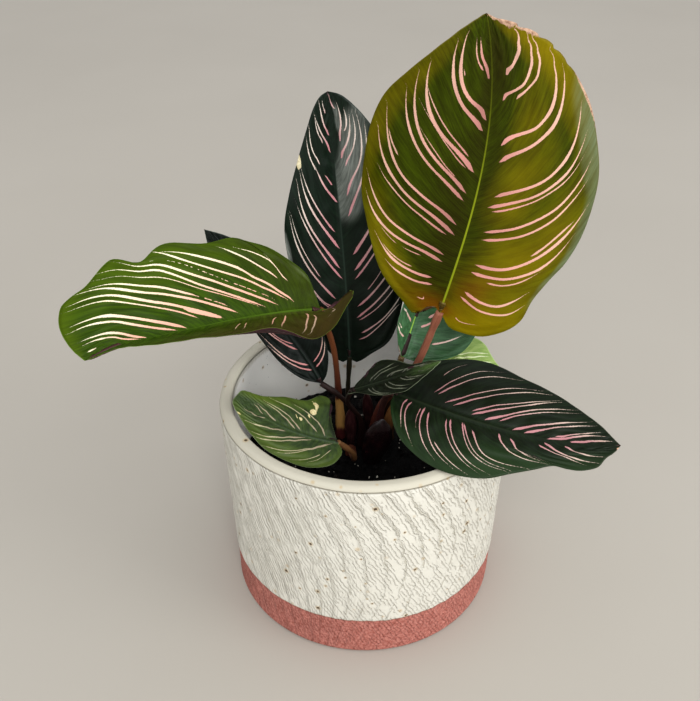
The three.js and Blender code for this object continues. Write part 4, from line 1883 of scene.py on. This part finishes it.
# The bright green leaf that reaches left, with its near half folded under.
LEFT = Leaf(
    "left", ((-19, -5, 148), (-47, -12, 151.5), (-74, -26, 149.5), (-108, -42, 152.5)),
    ((0.1, -0.1, 1), (-0.3, -0.1, 1)),
    Half((0, 0, 8, 10, 12), (8, 15, 15, 9, 5), (1.8, 3.2, 0.2), (
        (-4, 1), (-8, 0.8), (-10.4, 1), (-11.2, 3), (-11.2, 5.5), (-10, 6.8), (-8.2, 7.5), (-6.4, 9.5),
        (-3.7, 13), (0.8, 18), (7, 25), (14, 30.5), (26, 32), (38, 28), (48, 20), (58, 13), (70, 9.5),
        (82, 4.5), (89, 2), (94, 1)), (
        (50, 56, 6, 35, 45, 45, 60), (27, 62, 9, 70, 80, 110, 160), (12, 57, 10, 85, 95, 135, 170),
        (7, 35, 9, 175, 185, 200, 210), (10, 27, 7, 215, 230, 235, 240), (19, 52, 5, 340, 335, 325, 320),
        (20, 51, 5, 365, 360, 355, 345),
    ), ear=9.5),
    Half((45, 48, 42), (-3, -3, -3), (0, 3, 0), (
        (1, 3), (2.5, 8), (5, 15), (12, 22), (19.5, 28), (27, 31.5), (32, 34), (38.5, 34.5), (46, 35.5),
        (51.5, 36), (57.5, 37), (63, 37), (69.5, 36.5), (75, 36.5), (79.5, 36), (82.5, 34), (87, 30.5),
        (91, 28), (96.5, 27), (100.5, 25.5), (102.5, 21.5), (103, 17), (102, 11.5), (100, 6)), (
        (40, 76, 6, 110, 130, 145, 165), (37, 80, 8, 145, 165, 180, 185), (13, 88, 12, 120, 200, 240, 265),
        (15, 98, 10, 145, 250, 280, 250), (9, 96, 12, 190, 310, 325, 325), (16, 80, 4, 195, 280, 300, 305),
        (8, 98, 11, 245, 345, 340, 365), (10, 93, 4.5, 270, 360, 360, 385), (15, 40, 5, 370, 385, 395, 405),
        (36, 93, 11, 400, 400, 395, 420), (6, 98, 13, 365, 430, 440, 440), (5, 95, 14, 440, 495, 485, 490),
        (5, 28, 18, 445, 475, 495, 500), (11, 94, 8, 520, 525, 510, 510), (3, 93, 16, 605, 625, 590, 585),
        (3, 94, 12, 645, 680, 630, 620), (3, 88, 12, 770, 780, 730, 715), (3, 87, 8, 795, 820, 775, 765),
        (62, 80, 8, 870, 870, 870, 875),
    ), dips=((44.5, 0.05, 7), (70, 0.136, 6))),
    BladeFinish("263805", "3d5508", "526408", "4d661c", "e6b09c", "f1e6cc", shade="46381c",
                amber="323604", sheen="a9b58f", edge="6f8a34", roughness=0.44, gloss=0.1),
    "leaf_green", {
        Paint.AMBER: ((1, 0.07, 0.5, 0.14, 0.7, 0.6),),
        Paint.GLOW: ((1, 0.3, 0.8, 0.25, 0.3, 0.4), (1, 0.55, 1, 0.5, 0.12, 0.5)),
        # painted sheen: small painted highlights near the far margin
        Paint.SHEEN: ((1, 0.06, 0.8, 0.06, 0.25, 0.28),),
        Paint.SHADE: ((-1, 0.12, 0.7, 0.3, 0.7, 0.9),),
    }, quilts=12.0, quilt_height=0.25, stripe_scale=0.7, swell=0.0, dotted=((1, 5), (1, 8)), droop=9.0)


# The dark leaf that reaches right over the rim.
RIGHT = Leaf(
    "right", ((12, -22, 117), (34, -36, 118), (69, -48, 109), (99, -54, 116)),
    ((0, -0.45, 0.89), (0.1, -0.45, 0.89)),
    Half((12, 10, 8), (-11, -11, -10), (0.8, 2, 0), (
        (0, 7), (4, 12.5), (9, 19), (19, 25.5), (34.5, 31.5), (52, 26.5), (68.5, 20.5), (85.5, 9),
        (90.5, 3.5)), (
        (45, 68, 5, 159, 162, 168, 174), (20, 87, 7, 174, 198, 210, 228), (19, 92, 10, 190, 220, 235, 272),
        (12, 90, 9, 238, 282, 302, 340), (13, 94, 11, 275, 312, 332, 366), (14, 92, 9, 352, 378, 397, 403),
        (9, 93, 13, 365, 403, 412, 415), (7, 95, 14, 426, 450, 448, 475), (14, 93, 9, 472, 470, 473, 502),
        (4, 93, 15, 555, 574, 570, 586), (4, 92, 14, 605, 621, 610, 632), (1, 88, 15, 705, 755, 745, 785),
        (16, 88, 10, 715, 722, 710, 715), (3, 83, 16, 800, 838, 852, 885),
    )),
    Half((12, 10, 8), (-11, -11, -10), (0.8, 2, 0.3), (
        (0.5, 4), (4.5, 10.5), (9, 15.5), (13.5, 19), (24.5, 23.5), (34, 25), (41.5, 24.5), (48.5, 22.5),
        (56, 18), (63.5, 14), (70, 11), (74.5, 11.5), (79, 11.5), (85, 9.5), (88, 5.5), (91, 3)), (
        (3, 62, 11, 80, 70, 80, 90), (5, 73, 11, 105, 95, 105, 120), (10, 39, 6, 155, 150, 145, 145),
        (5, 75, 11, 175, 160, 160, 170), (11, 82, 10, 195, 185, 185, 195), (51, 91, 7, 195, 200, 205, 210),
        (14, 86, 8, 270, 245, 235, 235), (11, 91, 10, 290, 260, 245, 250),
        (10.5, 93.5, 8, 340, 300, 270, 285), (11.5, 92.5, 8, 345, 310, 280, 295),
        (23, 95, 10, 360, 320, 295, 335), (12, 94, 11, 490, 430, 375, 395),
        (18, 87, 12, 525, 480, 420, 400), (22, 87, 9, 635, 620, 610, 585), (12, 94, 15, 680, 660, 630, 635),
        (19, 95, 12, 755, 730, 700, 720),
    )),
    BladeFinish("0f160b", "1a2815", "29401f", "222b1c", "b98488", "cfb9ac", edge="4a4f3c",
                roughness=0.4, gloss=0.18),
    "leaf_dark", {
        Paint.SHADE: ((-1, 0.15, 0.3, 0.2, 0.6, 0.5),),
        Paint.GLOW: ((1, 0.3, 0.9, 0.5, 0.4, 0.6),),
        # painted sheen: a faint painted reflection near the base of the right half
        Paint.SHEEN: ((1, 0.07, 0.8, 0.09, 0.3, 0.25),),
        Paint.DRY: ((1, 0.93, 1, 0.03, 0.1, 0.9),),
    }, underside=DUSKY, cell=0.85, quilts=11.0, stripe_scale=0.52, swell=0.55)


# The mid green leaf that lies over the soil at the front.
FRONT = Leaf(
    "front", ((-12, -25, 93), (-29, -21, 92), (-46, -16, 98), (-56, -11, 108)),
    ((0, -0.4, 0.9), (0.3, -0.2, 0.9)),
    Half((12, 10, 8), (-12, -12, -12), (0.5, 2, 0), (
        (-3, 5), (-1.5, 9.5), (1, 12), (5.5, 14), (9.5, 15), (19, 14.5), (27, 14), (36.5, 10.5), (41.5, 8),
        (49, 4.5)), (
        (36, 75, 6, 75, 105, 130, 150), (45, 85, 6, 125, 150, 170, 192), (12, 80, 10, 54, 165, 215, 250),
        (12, 95, 10, 85, 190, 260, 290), (8, 98, 12, 215, 315, 337, 345), (6, 95, 12, 270, 355, 368, 385),
        (10, 95, 12, 430, 477, 480, 482), (2, 40, 9, 660, 675, 690, 700), (20, 65, 10, 700, 715, 730, 740),
    )),
    Half((12, 10, 8), (-12, -12, -12), (0.5, 2, 0.3), (
        (2.5, 4.5), (5.5, 11), (9, 21), (14.5, 23), (19.5, 17.5), (30.5, 14.5), (40, 8.5), (49.5, 3.5)), (
        (11, 75, 10, 118, 185, 235, 310), (15, 95, 10, 185, 264, 338, 420), (10, 85, 9, 318, 365, 410, 490),
        (10, 78, 11, 368, 410, 450, 515), (10, 60, 11, 550, 590, 620, 660), (10, 50, 8, 680, 700, 710, 720),
    )),
    BladeFinish("33412a", "485a30", "617420", "3c4c34", "a89a84", "c6be9c", edge="96a57a",
                sheen="74866c", dry="e9dcae", burn="b3a06a", roughness=0.4, gloss=0.25, veins=90.0),
    "leaf_green", {
        Paint.GLOW: ((-1, 0.3, 0.85, 0.5, 0.35, 0.5), (1, 0.5, 0.9, 0.4, 0.25, 0.6)),
        # painted sheen: a faint painted reflection beside the midrib
        Paint.SHEEN: ((1, 0.4, 0.1, 0.4, 0.25, 0.2),),
        Paint.DRY: ((1, 0.22, 0.62, 0.016, 0.09, 1), (1, 0.2, 0.78, 0.009, 0.2, 0.8),
            (1, 0.245, 0.52, 0.008, 0.07, 0.8), (1, 0.3, 0.4, 0.012, 0.06, 0.9),
            (1, 0.32, 0.46, 0.006, 0.1, 0.7), (1, 0.3, 1, 0.04, 0.03, 0.6),
            (-1, 0.55, 0.95, 0.02, 0.05, 0.9)),
        Paint.SHADE: ((1, 0.03, 0.7, 0.08, 0.4, 0.8),),
    }, underside=DUSKY, cell=0.65, quilts=10.0, quilt_height=0.25, rib_width=0.5,
    stripe_scale=0.5)


# The small dark leaf under the left one.
SHADED = Leaf(
    "shaded", ((-20, 8, 100), (-28, 14, 117), (-52, 28, 138), (-72, 40, 162)),
    ((-0.3, -0.8, 0.6), (-0.3, -0.8, 0.6)),
    Half((12, 10, 8), (-8, -8, -8), (0.5, 2, 0), (
        (6.5, 5.5), (16.5, 9.5), (27, 11.5), (41, 11.5), (54, 10), (69.5, 6.5), (81.5, 3)), (
        (5, 87, 9, 117, 141, 159, 180), (5, 87, 10, 158, 178, 191, 223), (5, 80, 9, 270, 295, 300, 310),
        (5, 70, 6, 310, 320, 325, 330), (6, 85, 10, 420, 430, 430, 440), (6, 85, 9, 460, 470, 470, 480),
        (6, 85, 10, 570, 580, 580, 600), (6, 85, 9, 610, 620, 620, 640), (8, 80, 10, 730, 740, 740, 760),
    )),
    Half((12, 10, 8), (-8, -8, -8), (0.5, 2, 0.3), (
        (3.5, 4), (13.5, 10), (20.5, 12.5), (34, 17), (52, 18), (69, 13), (80.5, 6)), (
        (27, 85, 8, 259, 229, 202, 183), (20, 90, 9, 310, 280, 250, 220), (10, 90, 9, 120, 110, 100, 100),
        (10, 90, 7, 155, 145, 130, 130), (8, 88, 10, 420, 410, 390, 380), (8, 88, 9, 460, 450, 430, 420),
        (8, 88, 10, 570, 560, 540, 550), (8, 88, 9, 610, 600, 580, 600), (8, 80, 10, 730, 730, 720, 740),
    )),
    BladeFinish("0b120d", "161f1a", "2b382f", "222c26", "cf908e", "e0c4b6", edge="59655a", gloss=0.15),
    "leaf_dark", underside=DUSKY, cell=0.75, quilts=10.0, rib_width=0.5, stripe_scale=0.7)


# The small leaf over the middle of the crown.
CROWN = Leaf(
    "crown", ((-6, -14, 113), (6, -22, 123), (18, -32, 136), (28, -42, 148)),
    ((0, -0.6, 0.8), (0, -0.4, 0.9)),
    Half((12, 10, 8), (-10, -10, -10), (0.5, 2, 0), (
        (3, 2), (7.5, 4), (12.5, 6.5), (17.5, 9.5), (27, 7.5), (36.5, 3.5), (42.5, 2.5), (49.5, 2)), (
        (12, 90, 5, 200, 210, 220, 230), (12, 85, 4, 240, 250, 260, 270), (10, 90, 5, 380, 380, 390, 410),
        (10, 88, 4.5, 420, 420, 430, 450), (10, 88, 5, 550, 550, 560, 580), (12, 85, 4, 600, 600, 610, 630),
        (10, 80, 4.5, 750, 750, 760, 780),
    )),
    Half((12, 10, 8), (-10, -10, -10), (0.5, 2, 0.3), (
        (-2.5, 1.5), (3.5, 2), (12, 4.5), (20.5, 7), (29.5, 8.5), (37.5, 9), (45.5, 7), (52.5, 4)), (
        (12, 90, 5, 190, 190, 200, 220), (12, 85, 4, 230, 230, 240, 260), (10, 90, 5, 370, 360, 360, 380),
        (10, 88, 4.5, 410, 410, 410, 430), (10, 88, 5, 540, 530, 530, 550), (12, 85, 4, 590, 580, 580, 600),
        (10, 80, 4.5, 740, 730, 730, 750),
    )),
    BladeFinish("11160c", "202a18", "587040", "2a3324", "64665a", "858a76", edge="9aa589",
                sheen="6f7670", roughness=0.4, gloss=0.2, veins=70.0, ragged=0.3),
    "leaf_dark", {
        Paint.GLOW: ((-1, 0.95, 0.5, 0.25, 1, 1), (1, 0.95, 0.5, 0.25, 1, 1)),
        # painted sheen: a faint painted reflection on the left half
        Paint.SHEEN: ((-1, 0.2, 0.5, 0.2, 0.6, 0.15),),
    }, underside=DUSKY, cell=0.55, quilts=8.0, quilt_height=0.18, rib_width=0.4, stripe_scale=0.9)


# The blue-green leaf behind the crown.
MIDDLE = Leaf(
    "middle", ((16, 5, 117), (21, 12, 129), (26, 22, 146), (36, 32, 165)),
    ((0.45, -0.7, 0.45), (0.45, -0.7, 0.45)),
    Half((36, 36, 24), (-4, -4, -4), (0.5, 2, 0), (
        (2.5, 4), (6, 7.5), (11, 11), (17.5, 14), (24, 14), (32.5, 13), (41, 9.5), (50, 5)), (
        (31, 86, 9, 164, 154, 147, 143), (55, 84, 6, 176, 168, 161, 153), (18, 90, 11, 295, 275, 240, 205),
        (34, 75, 9, 332, 300, 275, 255), (15, 88, 10, 450, 430, 400, 380), (15, 85, 9, 480, 460, 440, 420),
        (12, 88, 10, 600, 580, 560, 550), (12, 85, 9, 640, 620, 600, 600), (12, 80, 10, 750, 740, 730, 750),
    )),
    Half((30, 30, 20), (-8, -8, -8), (0.5, 2, 0.3), (
        (0, 5), (1.5, 10.5), (5, 17), (8.5, 22), (12.5, 26), (20.5, 29), (32, 28), (43.5, 21.5),
        (52, 11)), (
        (35, 70, 9, 181, 197, 211, 223), (15, 32, 12, 285, 290, 300, 310), (24, 42, 13, 345, 350, 360, 365),
        (15, 85, 11, 450, 460, 460, 470), (15, 85, 10, 500, 510, 510, 530),
        (12, 85, 11, 600, 610, 610, 630), (12, 82, 10, 640, 650, 660, 680),
        (12, 80, 10, 750, 760, 770, 790),
    )),
    BladeFinish("355a3a", "507a54", "6a8a5a", "9ac24a", "e0a8a4", "efe0d2", edge="6f8a74",
                dry="9c958c"),
    "leaf_dark", {
        Paint.DRY: ((-1, 0.03, 0.8, 0.03, 0.4, 0.9),),
        Paint.SHADE: ((1, 0.2, 0.6, 0.4, 0.5, 0.5),),
    }, underside=DUSKY, cell=0.65, quilts=9.0, rib_width=0.6)


# The youngest open leaf, light green.
LIME = Leaf(
    "lime", ((30, 12, 107), (41, 11, 108), (53, 8, 110), (65, 2, 107)),
    ((0, -0.3, 0.9), (0.2, -0.2, 0.9)),
    Half((12, 10, 8), (-12, -12, -12), (0.5, 2, 0), (
        (0.5, 7), (6.5, 12.5), (12, 18), (18, 19), (22.5, 15), (27, 8), (32, 3)), (
        (34, 97, 7, 279, 334, 371, 386), (23, 92, 9, 262, 376, 411, 423), (20, 85, 8, 130, 150, 170, 190),
        (20, 85, 8, 170, 200, 220, 240), (15, 90, 8, 460, 480, 490, 500), (15, 88, 7, 510, 530, 540, 550),
        (15, 80, 8, 640, 660, 670, 680),
    )),
    Half((12, 10, 8), (-12, -12, -12), (0.5, 2, 0.3), (
        (2.5, 6), (16, 12), (26.5, 12.5), (34.5, 8)), (
        (20, 85, 8, 140, 140, 150, 160), (20, 85, 8, 180, 190, 200, 210), (15, 90, 8, 300, 310, 320, 340),
        (15, 90, 8, 350, 360, 370, 390), (15, 90, 8, 470, 470, 480, 500), (15, 88, 8, 520, 520, 530, 550),
        (15, 80, 8, 660, 660, 670, 690),
    )),
    BladeFinish("7d9850", "9fb46c", "b1c47e", "bccd90", "d5dfa8", "e6ecc8", edge="bccf98",
                shade="3a4f22", veins=70.0, ragged=0.3),
    "leaf_lime", underside=GREEN_UNDER, cell=0.6, quilts=8.0, rib_width=0.5)


LEAVES = (TALL, REAR, LEFT, RIGHT, FRONT, SHADED, CROWN, MIDDLE, LIME)
DARK_STEM = StalkFinish("22100f", "241a16", "3d2622")
STEMS = (
    Stem("tall", (5, 16), ((8, 11, 85), (21, -2, 115)), (2.2, 1.6),
         StalkFinish("6a3a30", "9a6652", "7d4f3c")),
    Stem("rear", (-7, 21), ((-8, 22, 78),), (2, 1.1), StalkFinish("1c120e", "1c1d10", "33301c")),
    Stem("left", (-11, 15), ((-12, 15, 85), (-14, 6, 120)), (2.2, 1.3),
         StalkFinish("4a2020", "7a4e30", "5c3620", wrap="a8834e")),
    Stem("right", (5, 8), ((7, 2, 86), (9, -12, 108)), (2.2, 1.4),
         StalkFinish("4a2428", "3c2a24", "6b4438")),
    Stem("front", (-6.5, 2), ((-5, -12, 72), (-6, -21, 84)), (2, 1.2),
         StalkFinish("5a3026", "7a5a38", "8a6a48")),
    Stem("shaded", (-2.5, 16.5), ((-4, 11, 80), (-12, 7, 94)), (2, 1.2), DARK_STEM),
    Stem("crown", (-1, 9), ((-2, 4, 82), (-8, -8, 102)), (2, 1), DARK_STEM),
    Stem("middle", (9, 21), ((12, 17, 86), (15, 9, 106)), (2, 1.3),
         StalkFinish("3a2420", "6a5a3a", "4a3a2c")),
    Stem("lime", (12, 14), ((17, 15, 82), (25, 13, 99)), (2, 1.1),
         StalkFinish("4a3024", "7d8a48", "6a5a34")),
)
WINE = StalkFinish("1d0d0e", "35191c", "6a4644", 0.3, 0.4, edge="8a6a64", ribs=12.0)
SHEATHS = (
    Sheath("sheath_front", ((-6.5, 8, 0), (-6.5, 6, 14), (-6.5, 3.5, 27)), 3, 0.6, WINE, "sheath"),
    Sheath("sheath_rear", ((2, 21.5, 0), (2, 20, 13), (1, 18, 25)), 2.8, 0.6, WINE, "sheath"),
    Sheath("sheath_dry", ((10, 9.5, 0), (11, 9, 12), (14, 8, 28)), 2.6, 0.5,
           StalkFinish("5a3820", "96693c", "b98a58", 0.7, edge="c9a070", ribs=16.0, papery=0.8),
           "dry_sheath"),
    RolledShoot("shoot_rolled", ((3.5, -3, 0), (5, -4, 11), (8, -6, 28)), 8.5, 0.5,
                StalkFinish("0c0506", "180a0c", "38161b", 0.2, 0.8, edge="6a1c24", ribs=10.0), "sheath",
                columns=110, rows=80, wall=0.4),
)


def main() -> None:
    """Builds the planter, the soil, the plant and the studio."""
    logging.basicConfig(level=logging.INFO, format="%(name)s %(message)s")
    effects = Effects()
    Studio().build(effects)
    Planter().build(effects)
    Soil().build(effects)
    for leaf, stem in zip(LEAVES, STEMS):
        leaf.build(effects)
        stem.build(leaf.midrib[0], effects)
    for sheath in SHEATHS:
        sheath.build(effects)


if __name__ == "__main__":
    main()
